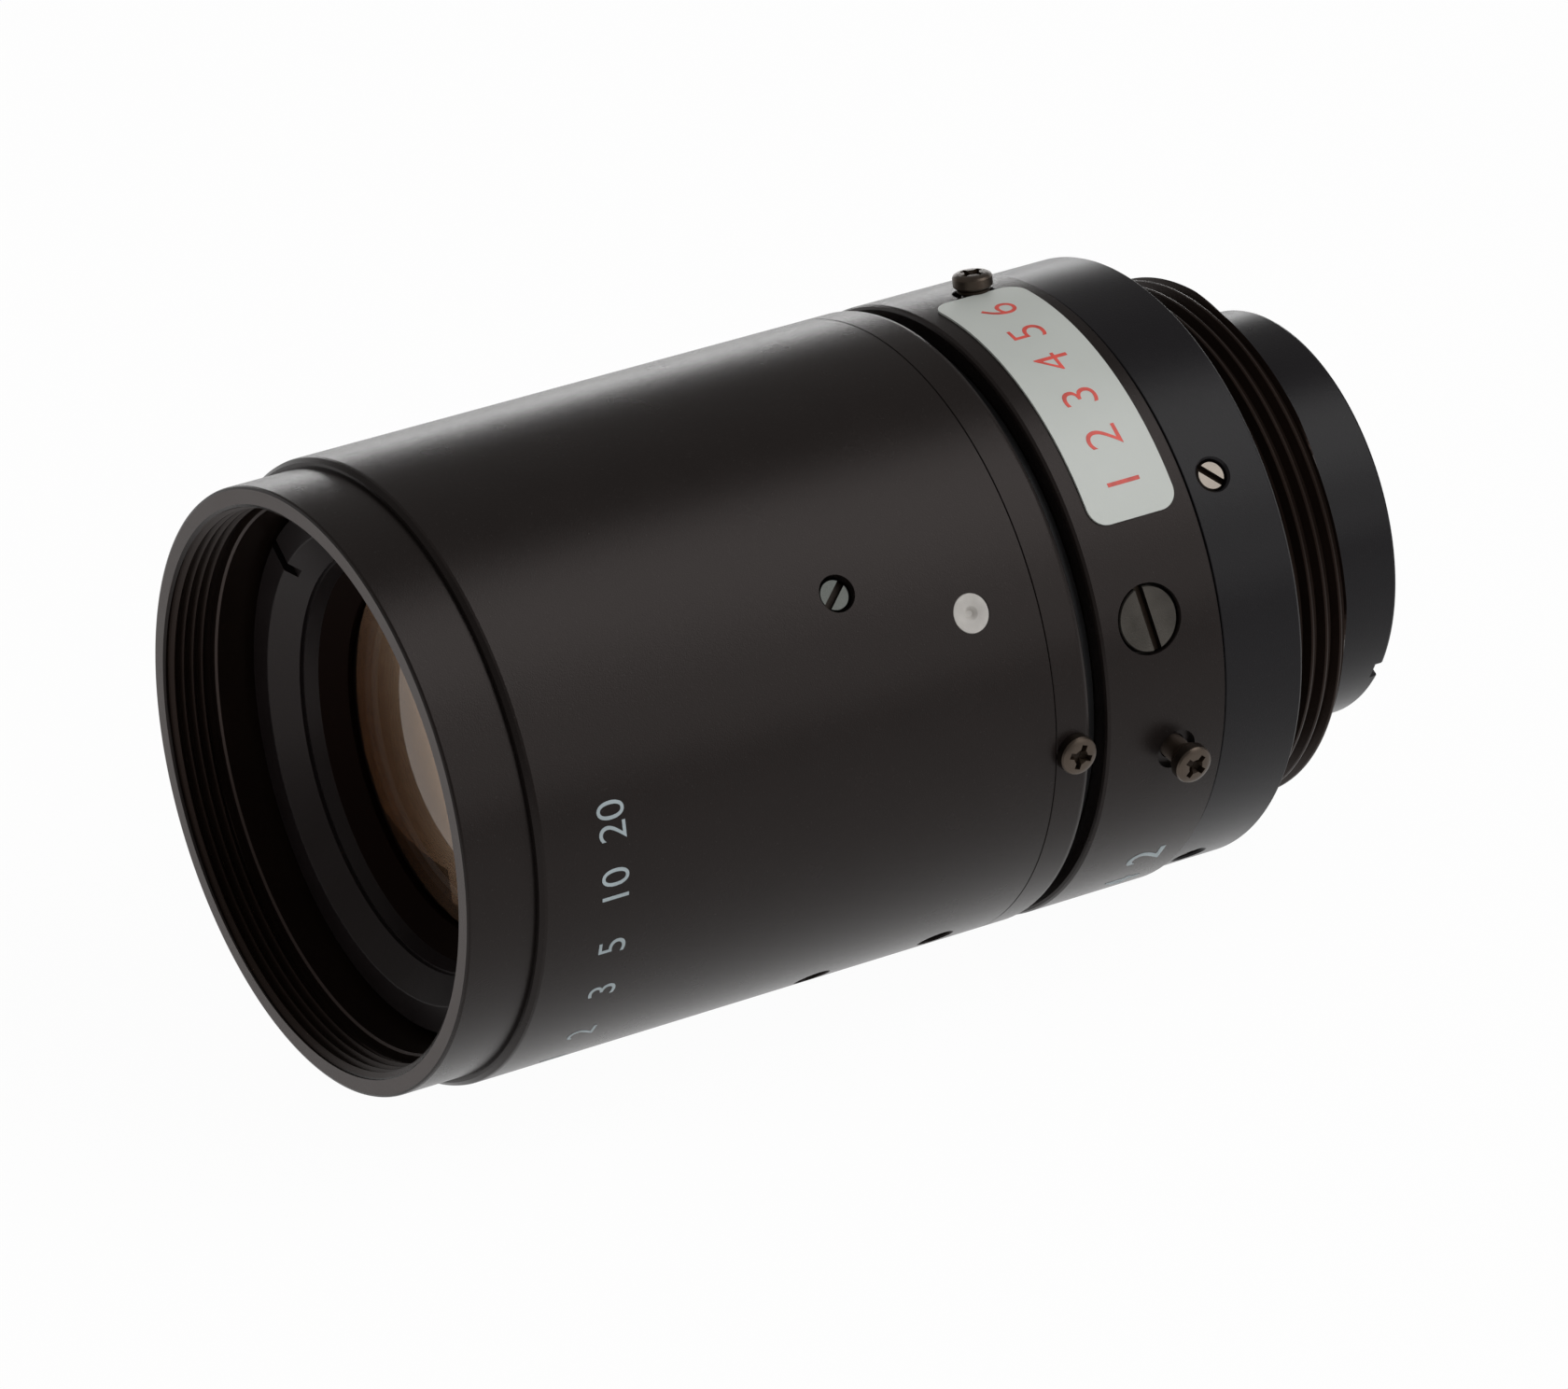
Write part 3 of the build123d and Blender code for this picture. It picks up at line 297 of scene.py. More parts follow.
def cut(piece, cutter_bm):
    """Takes a closed shape away from a piece."""
    cutter = new_object(piece.name + "_cutter", cutter_bm)
    modifier = piece.modifiers.new("cut", "BOOLEAN")
    modifier.operation = "DIFFERENCE"
    modifier.solver = "EXACT"
    modifier.object = cutter
    graph = bpy.context.evaluated_depsgraph_get()
    mesh = bpy.data.meshes.new_from_object(piece.evaluated_get(graph))
    piece.modifiers.clear()
    old = piece.data
    piece.data = mesh
    mesh.name = piece.name
    bpy.data.meshes.remove(old)
    cutter_mesh = cutter.data
    bpy.data.objects.remove(cutter)
    bpy.data.meshes.remove(cutter_mesh)


def paint(piece, material, inside):
    """Gives another material to the faces whose middle the test accepts, by radius and station; it
    lays real finishes and painted light alike.
    """
    piece.data.materials.append(material)
    last = len(piece.data.materials) - 1
    for face in piece.data.polygons:
        spot = face.center / MM
        if inside(hypot(spot.x, spot.z), -spot.y):
            face.material_index = last


def paint_small(piece, material, places, inside):
    """The same for a small part, by the distance from its own axis and the height along it."""
    piece.data.materials.append(material)
    last = len(piece.data.materials) - 1
    frames = [small(*at).inverted() for at in places]
    for face in piece.data.polygons:
        for frame_in in frames:
            spot = (frame_in @ face.center) / MM
            if inside(hypot(spot.x, spot.y), spot.z):
                face.material_index = last


def turned_normals(piece):
    """Exact normals on faces turned about the axis, so cuts leave no shading marks."""
    mesh = piece.data
    mesh.polygons.foreach_set("use_smooth", [True] * len(mesh.polygons))
    normals = [None] * len(mesh.loops)
    for face in mesh.polygons:
        angle = atan2(face.center.x, face.center.z)
        out = Vector((sin(angle), 0, cos(angle)))
        side = Vector((cos(angle), 0, -sin(angle)))
        across = face.normal.dot(side)
        rise = face.normal.dot(out)
        along = face.normal.y
        for loop in face.loop_indices:
            spot = mesh.vertices[mesh.loops[loop].vertex_index].co
            turn = atan2(spot.x, spot.z)
            if abs(across) < 0.03:
                own = Vector((sin(turn) * rise, along, cos(turn) * rise))
                normals[loop] = own.normalized()
            else:
                normals[loop] = face.normal.copy()
    mesh.normals_split_custom_set(normals)


def helical_rows(bm, low, high, pitch, crest_at, radius_of, steps=10, rings=RINGS):
    """Right-hand thread surface between two stations. radius_of takes phase and station."""
    crest_s, crest_angle = crest_at
    count = int((high - low) / pitch * steps) + 2 * steps + 2
    first = low - pitch
    grid = []
    for i in range(rings):
        angle = 360 * i / rings
        column = []
        for k in range(count):
            s = first + k * pitch / steps + pitch * (rings - i) / rings
            s = min(max(s, low), high)
            phase = ((s - crest_s) / pitch + (angle - crest_angle) / 360) % 1.0
            column.append(bm.verts.new(place(radius_of(phase, s), angle, s)))
        grid.append(column)
    for i in range(rings):
        wrap = i == rings - 1
        for k in range(count - 1):
            far = grid[(i + 1) % rings]
            a = max(k - steps, 0) if wrap else k
            b = max(k + 1 - steps, 0) if wrap else k + 1
            corners = [grid[i][k], far[a], far[b], grid[i][k + 1]]
            spots = {tuple(round(c, 8) for c in v.co) for v in corners}
            if len(spots) > 2 and len(set(corners)) > 2:
                bm.faces.new(list(dict.fromkeys(corners)))


def vee(phase, crest_flat, root_flat):
    """Height of a thread's section from 0 at the root to 1 at the crest."""
    away = min(phase, 1 - phase) * 2
    if away <= crest_flat:
        return 1.0
    if away >= 1 - root_flat:
        return 0.0
    return 1 - (away - crest_flat) / (1 - root_flat - crest_flat)


# Materials

def set_inputs(node, values):
    """Sets a shader node's inputs by name."""
    for key, value in values.items():
        node.inputs[key].default_value = value


def add(tree, kind, values=()):
    """New shader node with values for its inputs."""
    node = tree.nodes.new("ShaderNode" + kind)
    set_inputs(node, dict(values))
    return node


def new_material(name):
    """Material with its node tree and its main shader."""
    material = bpy.data.materials.new(name)
    material.use_nodes = True
    tree = material.node_tree
    return material, tree, tree.nodes["Principled BSDF"]


def maths(tree, operation, first, second):
    """Result of an operation on an output and a number or another output."""
    node = add(tree, "Math")
    node.operation = operation
    tree.links.new(first, node.inputs[0])
    if isinstance(second, float):
        node.inputs[1].default_value = second
    else:
        tree.links.new(second, node.inputs[1])
    return node.outputs[0]


def noise(tree, where, scale, detail=2):
    """Factor of a noise texture."""
    texture = add(tree, "TexNoise", {"Scale": scale, "Detail": detail})
    tree.links.new(where, texture.inputs["Vector"])
    return texture.outputs["Fac"]


def laid_over(tree, under, share, level, tint):
    """Colour of a tint at a level laid over another colour, where the share is 1."""
    mix = add(tree, "Mix")
    mix.data_type = "RGBA"
    mix.inputs[7].default_value = (*[level * part for part in tint], 1)
    tree.links.new(share, mix.inputs["Factor"])
    tree.links.new(under, mix.inputs[6])
    return mix.outputs[2]


def bright_grains(tree, fine):
    """Share that is 1 on the brightest grains of a fine noise."""
    low, high = SPECK_RANGE
    pick = add(tree, "MapRange", {"From Min": low, "From Max": high})
    tree.links.new(fine, pick.inputs["Value"])
    return pick.outputs["Result"]


def rare_flecks(tree, where):
    """Share that is 1 on small round flecks, in the cells whose random colour is bright."""
    cells = add(tree, "TexVoronoi", {"Scale": DUST_SCALE})
    tree.links.new(where, cells.inputs["Vector"])
    parts = add(tree, "SeparateColor")
    tree.links.new(cells.outputs["Color"], parts.inputs[0])
    near = maths(tree, "LESS_THAN", cells.outputs["Distance"], DUST_SIZE)
    rare = maths(tree, "GREATER_THAN", parts.outputs[0], DUST_RARITY)
    return maths(tree, "MULTIPLY", near, rare)


def uneven_roughness(tree, shader, factor, low, high):
    """Lets the roughness follow a factor between two values."""
    span = add(tree, "MapRange", {"To Min": low, "To Max": high})
    tree.links.new(factor, span.inputs["Value"])
    tree.links.new(span.outputs["Result"], shader.inputs["Roughness"])


def relief(tree, shader, height, strength, depth):
    """Raises the surface by a factor."""
    bump = add(tree, "Bump", {"Strength": strength, "Distance": depth})
    tree.links.new(height, bump.inputs["Height"])
    tree.links.new(bump.outputs["Normal"], shader.inputs["Normal"])


def surface(name, colour, rough, spread=0.12, patch=350.0, grain=14000.0, bump=0.02,
            metallic=0.0, specular=0.5, rough_spread=0.06, speck=0.0, dust=0.0,
            sheen_tint=(1, 1, 1)):
    """Procedural finish: soft colour patches, uneven roughness, a fine grain and rare dust."""
    material, tree, shader = new_material(name)
    where = add(tree, "TexCoord").outputs["Object"]
    patches = noise(tree, where, patch, 5)
    fine = noise(tree, where, grain, 3)
    tint = add(tree, "ValToRGB")
    for stop, position, side in zip(tint.color_ramp.elements, (0.3, 0.7), (-1, 1)):
        stop.position = position
        stop.color = (*[c * (1 + side * spread) for c in colour], 1)
    tree.links.new(patches, tint.inputs["Fac"])
    shade = tint.outputs["Color"]
    if speck:
        shade = laid_over(tree, shade, bright_grains(tree, fine), speck, SPECK_TINT)
    if dust:
        shade = laid_over(tree, shade, rare_flecks(tree, where), dust, DUST_TINT)
    tree.links.new(shade, shader.inputs["Base Color"])
    uneven_roughness(tree, shader, patches, rough - rough_spread, rough + rough_spread)
    relief(tree, shader, fine, bump, GRAIN_DEPTH)
    set_inputs(shader, {
        "Metallic": metallic,
        "Specular IOR Level": specular,
        "Specular Tint": (*sheen_tint, 1),
    })
    return material


def glass(name, tint, coat_tint, ior=1.6):
    """Lens glass with faint streaks of the coating in its roughness."""
    material, tree, shader = new_material(name)
    where = add(tree, "TexCoord").outputs["Object"]
    streaks = noise(tree, where, STREAK_SCALE)
    uneven_roughness(tree, shader, streaks, 0.0, STREAK_ROUGH)
    relief(tree, shader, streaks, STREAK_BUMP, STREAK_DEPTH)
    set_inputs(shader, {
        "Base Color": (*tint, 1),
        "Transmission Weight": 1.0,
        "IOR": ior,
        "Specular Tint": (*coat_tint, 1),
    })
    return material


WARM = (1.0, 0.89, 0.86)
BROWN = (1.0, 0.72, 0.62)
ANODISED = surface("anodised_shell", (0.0112, 0.0088, 0.0082), 0.27, bump=0.30, specular=0.16,
                   spread=0.06, rough_spread=0.015, speck=0.045, dust=0.22, sheen_tint=WARM)
REAR_BLACK = surface("anodised_mount", (0.0094, 0.0085, 0.0100), 0.28, bump=0.25, specular=0.14,
                     spread=0.06, rough_spread=0.015, speck=0.03)
# Painted light: a lighter, warmer colour for the rim's front face and bore edge, standing in for light
# from the front.
RIM_FACE_PAINTED_LIGHT = surface("rim_face_painted_light", (0.025, 0.0170, 0.0145), 0.34, bump=0.3, specular=0.32,
                   sheen_tint=(1.0, 0.80, 0.74))
THREAD_BROWN = surface("thread_dark", (0.0092, 0.0056, 0.0042), 0.36, bump=0.2, specular=0.18,
                       sheen_tint=BROWN)
FLAT_BLACK = surface("matt_black", (0.0042, 0.0016, 0.0010), 0.60, bump=0.05, specular=0.05,
                     sheen_tint=BROWN)
RING_GREY = surface("ring_satin", (0.0125, 0.0098, 0.0102), 0.36, bump=0.25, specular=0.22,
                    sheen_tint=WARM)
DARK_STEEL = surface("screw_brown", (0.078, 0.062, 0.050), 0.36, metallic=1.0, patch=900,
                     bump=0.25)
# Painted shade: a dark brown for the screw's collar and shank, which sit in shade under the head.
NECK_PAINTED_SHADE = surface("screw_neck_painted_shade", (0.026, 0.016, 0.010), 0.45, metallic=0.6, patch=900,
                     bump=0.25)
# Painted shade: a dark brown laid into screw slots and cross recesses, where shade falls.
RECESS_PAINTED_SHADE = surface("recess_painted_shade", (0.026, 0.017, 0.011), 0.55, patch=900, specular=0.15)
SLOT_STEEL = surface("steel_burnished", (0.050, 0.046, 0.041), 0.34, metallic=1.0, spread=0.25,
                     patch=700, bump=0.4)
GREY_STEEL = surface("screw_grey", (0.068, 0.072, 0.067), 0.34, metallic=1.0, patch=900,
                     bump=0.25)
BRIGHT_STEEL = surface("screw_bright", (0.175, 0.155, 0.135), 0.30, metallic=1.0, patch=900,
                       bump=0.15)
BLADE_STEEL = surface("blade_steel", (0.03, 0.03, 0.032), 0.40, metallic=0.6, bump=0.03)
BRASS = surface("cam_brass", (0.40, 0.28, 0.12), 0.35, metallic=1.0, bump=0.03)
LABEL_FILM = surface("label_film", (0.57, 0.60, 0.57), 0.42, spread=0.03, patch=220,
                     grain=9000, bump=0.08)
RED_PRINT = surface("print_red", (0.70, 0.085, 0.065), 0.5, spread=0.25, patch=1400, bump=0.05)
BLUE_PRINT = surface("print_pale", (0.40, 0.47, 0.50), 0.55, spread=0.10, bump=0.08)
DOT_PAINT = surface("dot_fill", (0.50, 0.48, 0.455), 0.5, spread=0.08, patch=1500, bump=0.15)
FRONT_GLASS = glass("lens_front", (0.80, 0.60, 0.43), coat_tint=(0.16, 0.08, 0.03))
REAR_COATING = glass("lens_front_rear", (0.80, 0.60, 0.43), coat_tint=(0.60, 0.34, 0.18))
INNER_GLASS = glass("lens_inner", (0.86, 0.62, 0.44), coat_tint=(0.50, 0.27, 0.14), ior=1.10)

SLOT_LOOK = {
    "black_anodised": ANODISED,
    "flat_black": FLAT_BLACK,
    "housing_black": REAR_BLACK,
    "steel_dark": DARK_STEEL,
    "steel_bright": BRIGHT_STEEL,
    "steel_grey": GREY_STEEL,
    "spring_steel": BLADE_STEEL,
    "brass": BRASS,
    "label_paper": LABEL_FILM,
    "dot_paint": DOT_PAINT,
    "coated_glass": FRONT_GLASS,
    "clear_glass": INNER_GLASS,
}


def dress_frame():
    """Gives every CAD node the look of its material slot."""
    slots = {part["node"]: part["material_slot"] for part in frame["record"]["subparts"]}
    for node, piece in frame["nodes"].items():
        look = SLOT_LOOK[slots[node]]
        if not piece.data.materials:
            piece.data.materials.append(look)
        for slot in piece.material_slots:
            slot.material = look


def finish(piece, body, slot, *nodes):
    """Puts a piece on its body and hides the CAD nodes it stands for. The slot is not used."""
    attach(piece, body)
    if nodes:
        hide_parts(*nodes)
    return piece


# Rear housing

def mount_housing():
    def thread_radius(phase, s):
        r = THREAD_ROOT_R + (THREAD_R - THREAD_ROOT_R) * vee(phase, *THREAD_FLATS)
        r = min(r, RELIEF_R + (s - THREAD_END) * THREAD_END_SLOPE)
        return max(min(r, RELIEF_R + (THREAD_START - s) * THREAD_RUNOUT_SLOPE), RELIEF_R)

    bm = bmesh.new()
    helical_rows(bm, THREAD_END, THREAD_START, THREAD_PITCH, THREAD_CREST, thread_radius)
    ring_loop(bm, [
        (RELIEF_R, THREAD_START),
        (RELIEF_R, FLANGE_STEP),
        (FLANGE_STEP_R, FLANGE_STEP),
        (FLANGE_STEP_R, 0.0),
        (HOUSING_R - 0.20, 0.0),
        (HOUSING_R - 0.17, 0.01),
        (HOUSING_R - 0.01, 0.17),
        (HOUSING_R, 0.20),
        (HOUSING_R, HOUSING_FRONT - 0.06),
        (HOUSING_R - 0.03, HOUSING_FRONT - 0.02),
        (HOUSING_BORE, HOUSING_FRONT - 0.02),
        (HOUSING_BORE, FLANGE_WEB),
        (MOUNT_BORE, FLANGE_WEB),
        (MOUNT_BORE, THREAD_END),
        (RELIEF_R, THREAD_END),
    ], closed=False)
    piece = new_object("mount_housing_turned", bm, REAR_BLACK)
    paint(piece, THREAD_BROWN, lambda r, s: THREAD_END + 0.1 * SKIN < s < FLANGE_STEP - SKIN
          and MOUNT_BORE + SKIN < r < THREAD_R - SKIN)
    holes = bmesh.new()
    for at in HOUSING_SCREWS:
        disc_profile(holes, [
            (0, 11.0), (0.80, 11.0), (0.80, 14.50), (1.0, HOUSING_R + 0.10), (0, HOUSING_R + 0.10),
        ], small(*at))
    cut(piece, holes)
    turned_normals(piece)
    return finish(piece, "housing", "housing_black", "mount_housing")


def rear_cell():
    piece = turned("rear_cell_turned", [
        (CELL_BORE, TUBE_END + 0.05), (CELL_BORE + 0.05, TUBE_END),
        (TUBE_R - 0.12, TUBE_END), (TUBE_R - 0.03, TUBE_END + 0.03), (TUBE_R, TUBE_END + 0.12),
        (TUBE_R, TUBE_FRONT), (CELL_R, TUBE_FRONT), (CELL_R, REAR_CELL_FRONT),
        (GLASS_STOP_R, REAR_CELL_FRONT), (GLASS_STOP_R, GLASS_STOP), (CELL_BORE, GLASS_STOP),
    ], REAR_BLACK)
    notch = bmesh.new()
    for side in (0, 180):
        box_cutter(notch, small(TUBE_END, NOTCH_ANGLE + side), NOTCH_LENGTH, NOTCH_WIDTH,
                   *NOTCH_CUT)
    cut(piece, notch)
    turned_normals(piece)
    return finish(piece, "housing", "housing_black", "rear_cell")


# Iris ring

def iris_ring():
    piece = turned("iris_ring_turned", [
        (IRIS_BORE, IRIS_REAR),
        (IRIS_R - 0.08, IRIS_REAR),
        (IRIS_R, IRIS_REAR + 0.08),
        (IRIS_R, IRIS_FRONT - 0.20),
        (IRIS_R - 0.07, IRIS_FRONT - 0.06),
        (IRIS_R - 0.20, IRIS_FRONT),
        (IRIS_BORE, IRIS_FRONT),
    ], ANODISED)
    holes = bmesh.new()
    disc_profile(holes, [
        (0, 13.0), (0.82, 13.0), (0.82, DRIVE_SEAT), (1.675, DRIVE_SEAT), (1.675, 14.70),
        (1.78, CUT_TOP), (0, CUT_TOP),
    ], small(*DRIVE_AT), 64)
    for at in (LOCK_UPPER_AT, LOCK_SIDE_AT):
        disc_profile(holes, [
            (0, 13.0), (0.65, 13.0), (0.65, LOCK_SEAT), (1.0, LOCK_SEAT), (1.0, 14.74),
            (1.08, CUT_TOP), (0, CUT_TOP),
        ], small(*at))
    cut(piece, holes)
    turned_normals(piece)
    return finish(piece, "iris", "black_anodised", "iris_ring")


def drive_screw():
    at = small(*DRIVE_AT)
    head, shank, neck = 1.575, 0.70, 0.80
    slot_floor = DRIVE_TOP - 0.34
    bm = bmesh.new()
    disc_profile(bm, [
        (0, 11.2), (shank, 11.2), (shank, 13.3), (neck, 13.3), (neck, DRIVE_SEAT),
        (head, DRIVE_SEAT), (head, DRIVE_TOP - 0.08), (head - 0.075, DRIVE_TOP), (0, DRIVE_TOP),
    ], at, 64)
    piece = new_object("iris_drive_screw_head", bm, SLOT_STEEL)
    slot = bmesh.new()
    box_cutter(slot, at, 4.0, 0.42, slot_floor, CUT_TOP, 99)
    cut(piece, slot)
    smooth(piece)
    # Painted shade: the slot's walls and floor get the dark recess colour.
    paint_small(piece, RECESS_PAINTED_SHADE, [DRIVE_AT],
                lambda r, h: r < head - 0.075 and slot_floor - 0.08 < h < DRIVE_TOP - 0.06)
    return finish(piece, "iris", "steel_dark", "iris_drive_screw")


def cross_screw(name, at, top, turn, body, node, collar=0.56):
    """Cross-head lock screw with a rounded head, a collar and a threaded shank."""
    matrix = small(*at)
    head, crest, core = 0.95, 0.60, 0.50
    tip = top - 2.2
    under_head = top - 0.66
    turns, threaded = 10, 1.15
    profile = [(0, tip), (core - 0.12, tip)]
    for k in range(turns):
        low = tip + 0.08 + k * threaded / turns
        profile += [(core, low), (crest, low + 0.5 * threaded / turns)]
    profile += [
        (core, top - 0.92), (collar - 0.04, top - 0.92), (collar, top - 0.88),
        (collar, top - 0.78), (collar - 0.06, top - 0.74), (collar - 0.06, under_head),
        (head - 0.06, under_head),
        (head, top - 0.60), (head, top - 0.20), (head - 0.05, top - 0.10),
        (head - 0.17, top - 0.03), (head - 0.35, top), (0, top),
    ]
    bm = bmesh.new()
    disc_profile(bm, profile, matrix)
    piece = new_object(name, bm, DARK_STEEL)
    cross = bmesh.new()
    disc_profile(cross, [(0, top - 0.46), (0.20, top - 0.38), (0.40, top + 0.05), (0, top + 0.05)],
                 matrix @ Matrix.Rotation(radians(turn), 4, "Z"), 12)
    cut(piece, cross)
    for quarter in (0, 90):
        arm = bmesh.new()
        box_cutter(arm, matrix, 1.22, 0.30, top - 0.36, top + 0.1, turn + quarter)
        cut(piece, arm)
    smooth(piece)
    # Painted shade: the cross recess gets the dark recess colour.
    paint_small(piece, RECESS_PAINTED_SHADE, [at], lambda r, h: r < 0.66 and top - 0.5 < h < top - 0.02)
    # Painted shade: everything below the head gets the dark neck colour.
    paint_small(piece, NECK_PAINTED_SHADE, [at], lambda r, h: h < under_head - 0.005)
    return finish(piece, body, "steel_dark", node)


# Focus ring and barrel

def focus_collar():
    piece = turned("focus_ring_turned", [
        (SLEEVE_BORE, COLLAR_REAR),
        (BARREL_R - 0.32, COLLAR_REAR),
        (BARREL_R - 0.18, COLLAR_REAR + 0.04),
        (BARREL_R - 0.07, COLLAR_REAR + 0.13),
        (BARREL_R - 0.01, COLLAR_REAR + 0.28),
        (BARREL_R, COLLAR_REAR + 0.36),
        (BARREL_R, COLLAR_FRONT - 0.02),
        (BARREL_R - 0.02, COLLAR_FRONT),
        (SLEEVE_R, COLLAR_FRONT),
        (SLEEVE_R, SLEEVE_FRONT),
        (SLEEVE_BORE, SLEEVE_FRONT),
    ], ANODISED)
    hole = bmesh.new()
    disc_profile(hole, [(0, 13.0), (0.65, 13.0), (0.65, CUT_TOP), (0, CUT_TOP)],
                 small(*FOCUS_LOCK_AT))
    cut(piece, hole)
    turned_normals(piece)
    return finish(piece, "focus", "black_anodised", "focus_ring")


def focus_barrel():
    piece = turned("focus_barrel_turned", [
        (BARREL_BORE, BARREL_REAR),
        (BARREL_R - 0.02, BARREL_REAR),
        (BARREL_R, BARREL_REAR + 0.02),
        (BARREL_R, BARREL_FRONT - 0.34),
        (BARREL_R - 0.03, BARREL_FRONT - 0.22),
        (BARREL_R - 0.22, BARREL_FRONT - 0.03),
        (BARREL_R - 0.34, BARREL_FRONT),
        (BARREL_BORE, BARREL_FRONT),
    ], ANODISED)
    holes = bmesh.new()
    for station, angle in BARREL_SCREWS:
        disc_profile(holes, [(0, 13.7), (0.875, 13.7), (0.875, 14.74), (0.95, CUT_TOP), (0, CUT_TOP)],
                     small(station, angle))
    disc_profile(holes, [(0, DOT_FLOOR), (0.95, DOT_FLOOR), (0.95, CUT_TOP), (0, CUT_TOP)],
                 small(*DOT_AT), 64)
    cut(piece, holes)
    turned_normals(piece)
    return finish(piece, "focus", "black_anodised", "focus_barrel")


def set_screws(name, places, radius, low, top, turn, slit, material, body, slot, node):
    """Slotted set screws as one piece."""
    bm = bmesh.new()
    slots = bmesh.new()
    for at in places:
        disc_profile(bm, [
            (0, low), (radius - 0.1, low), (radius, low + 0.1), (radius, top - 0.10),
            (radius - 0.10, top), (0, top),
        ], small(*at))
        box_cutter(slots, small(*at), 3 * radius, slit, top - 0.35, top + 0.3, turn)
    piece = new_object(name, bm, material)
    cut(piece, slots)
    smooth(piece)
    # Painted shade: each slot's walls and floor get the dark recess colour.
    paint_small(piece, RECESS_PAINTED_SHADE, places,
                lambda r, h: r < radius - 0.02 and top - 0.4 < h < top - 0.06)
    return finish(piece, body, slot, node)


def index_dot():
    bm = bmesh.new()
    disc_profile(bm, [
        (0, DOT_FLOOR), (0.945, DOT_FLOOR), (0.945, 14.76), (0.91, 14.80), (0.36, 14.81),
        (0.32, 14.79), (0.16, 14.60), (0, 14.58),
    ], small(*DOT_AT), 64)
    piece = new_object("index_dot_fill", bm, DOT_PAINT)
    smooth(piece, 40)
    return finish(piece, "focus", "dot_paint", "index_dot")


# Front rim and glass

def front_rim():
    root = FILTER_ROOT_R
    bore = FILTER_ROOT_R + 0.02
    low, high = FILTER_FLOOR + 0.25, RIM_FRONT

    def thread_radius(phase, s):
        r = root - (root - FILTER_R) * vee(phase, *FILTER_FLATS)
        r = max(r, bore - (s - low) * 2.0)
        return min(max(r, bore - (high - s) * 1.2), bore)

    bm = bmesh.new()
    helical_rows(bm, low, high, FILTER_PITCH, FILTER_CREST, thread_radius)
    ring_loop(bm, [
        (bore, high),
        (RIM_R - 0.14, high),
        (RIM_R - 0.04, high - 0.04),
        (RIM_R, high - 0.14),
        (RIM_R, BARREL_FRONT),
        (SLEEVE_R, BARREL_FRONT),
        (SLEEVE_R, RIM_REAR),
        (RIM_BORE, RIM_REAR),
        (RIM_BORE, FILTER_FLOOR - 0.10),
        (RIM_BORE + 0.10, FILTER_FLOOR),
        (bore, FILTER_FLOOR),
        (bore, low),
    ], closed=False)
    piece = new_object("front_rim_turned", bm, ANODISED)
    turned_normals(piece)
    paint(piece, THREAD_BROWN, lambda r, s: r < bore + SKIN and s < high - 0.12)
    # Painted light: the rim's front face is made lighter because it faces the front.
    paint(piece, RIM_FACE_PAINTED_LIGHT, lambda r, s: r < RIM_R - 0.12 and s > high - SKIN)
    # Painted highlight: the chamfer at the floor of the filter bore gets the lighter colour as a
    # bright edge line.
    paint(piece, RIM_FACE_PAINTED_LIGHT,
          lambda r, s: r < RIM_BORE + 0.13 and FILTER_FLOOR - 0.13 < s < FILTER_FLOOR)
    return finish(piece, "focus", "black_anodised", "front_rim")


def retaining_ring():
    piece = turned("front_retaining_ring_turned", [
        (RING_BORE, RING_REAR), (9.90, RING_REAR), (9.90, 37.87), (11.40, 37.87),
        (11.40, CELL_FRONT), (12.62, CELL_FRONT), (12.62, RING_FACE - 0.08),
        (12.54, RING_FACE), (11.26, RING_FACE), (11.20, RING_FACE - 0.02),
        (10.06, 39.68), (10.06, 39.50), (9.95, 39.50),
        (9.66, CELL_FRONT), (RING_BORE + 0.03, 37.96), (RING_BORE, 37.92),
    ], RING_GREY)
    slots = bmesh.new()
    for side in (0, 180):
        box_cutter(slots, small(RING_FACE, SPANNER_ANGLE + side), 0.96, 0.60, 10.4, 13.0)
    cut(piece, slots)
    turned_normals(piece)
    paint(piece, FLAT_BLACK, lambda r, s: r < 9.70 and s < CELL_FRONT + 0.10)
    return finish(piece, "front_group", "flat_black", "front_retaining_ring")


def lens_rows(vertex, curve, edge, steps=24):
    """Points of (radius, station) on a lens surface from its axis to its edge."""
    points = []
    for k in range(steps + 1):
        r = edge * k / steps
        drop = abs(curve) - sqrt(curve**2 - r**2)
        points.append((r, vertex - drop if curve > 0 else vertex + drop))
    return points


def lens(name, front, rear, edge, material, rear_material, node, slot):
    """Lens element with spherical faces, each given by its vertex station and its radius."""
    bm = bmesh.new()
    bridge(bm, [
        [bm.verts.new(place(r, 360 * i / LENS_RINGS, s)) for i in range(LENS_RINGS if r else 1)]
        for r, s in lens_rows(*front, edge) + lens_rows(*rear, edge)[::-1]
    ])
    piece = new_object(name, bm, material)
    smooth(piece, 30)
    paint(piece, rear_material, lambda r, s: s < rear[0] + LENS_REAR_DEPTH)
    return finish(piece, "front_group", slot, node)


# Label and print

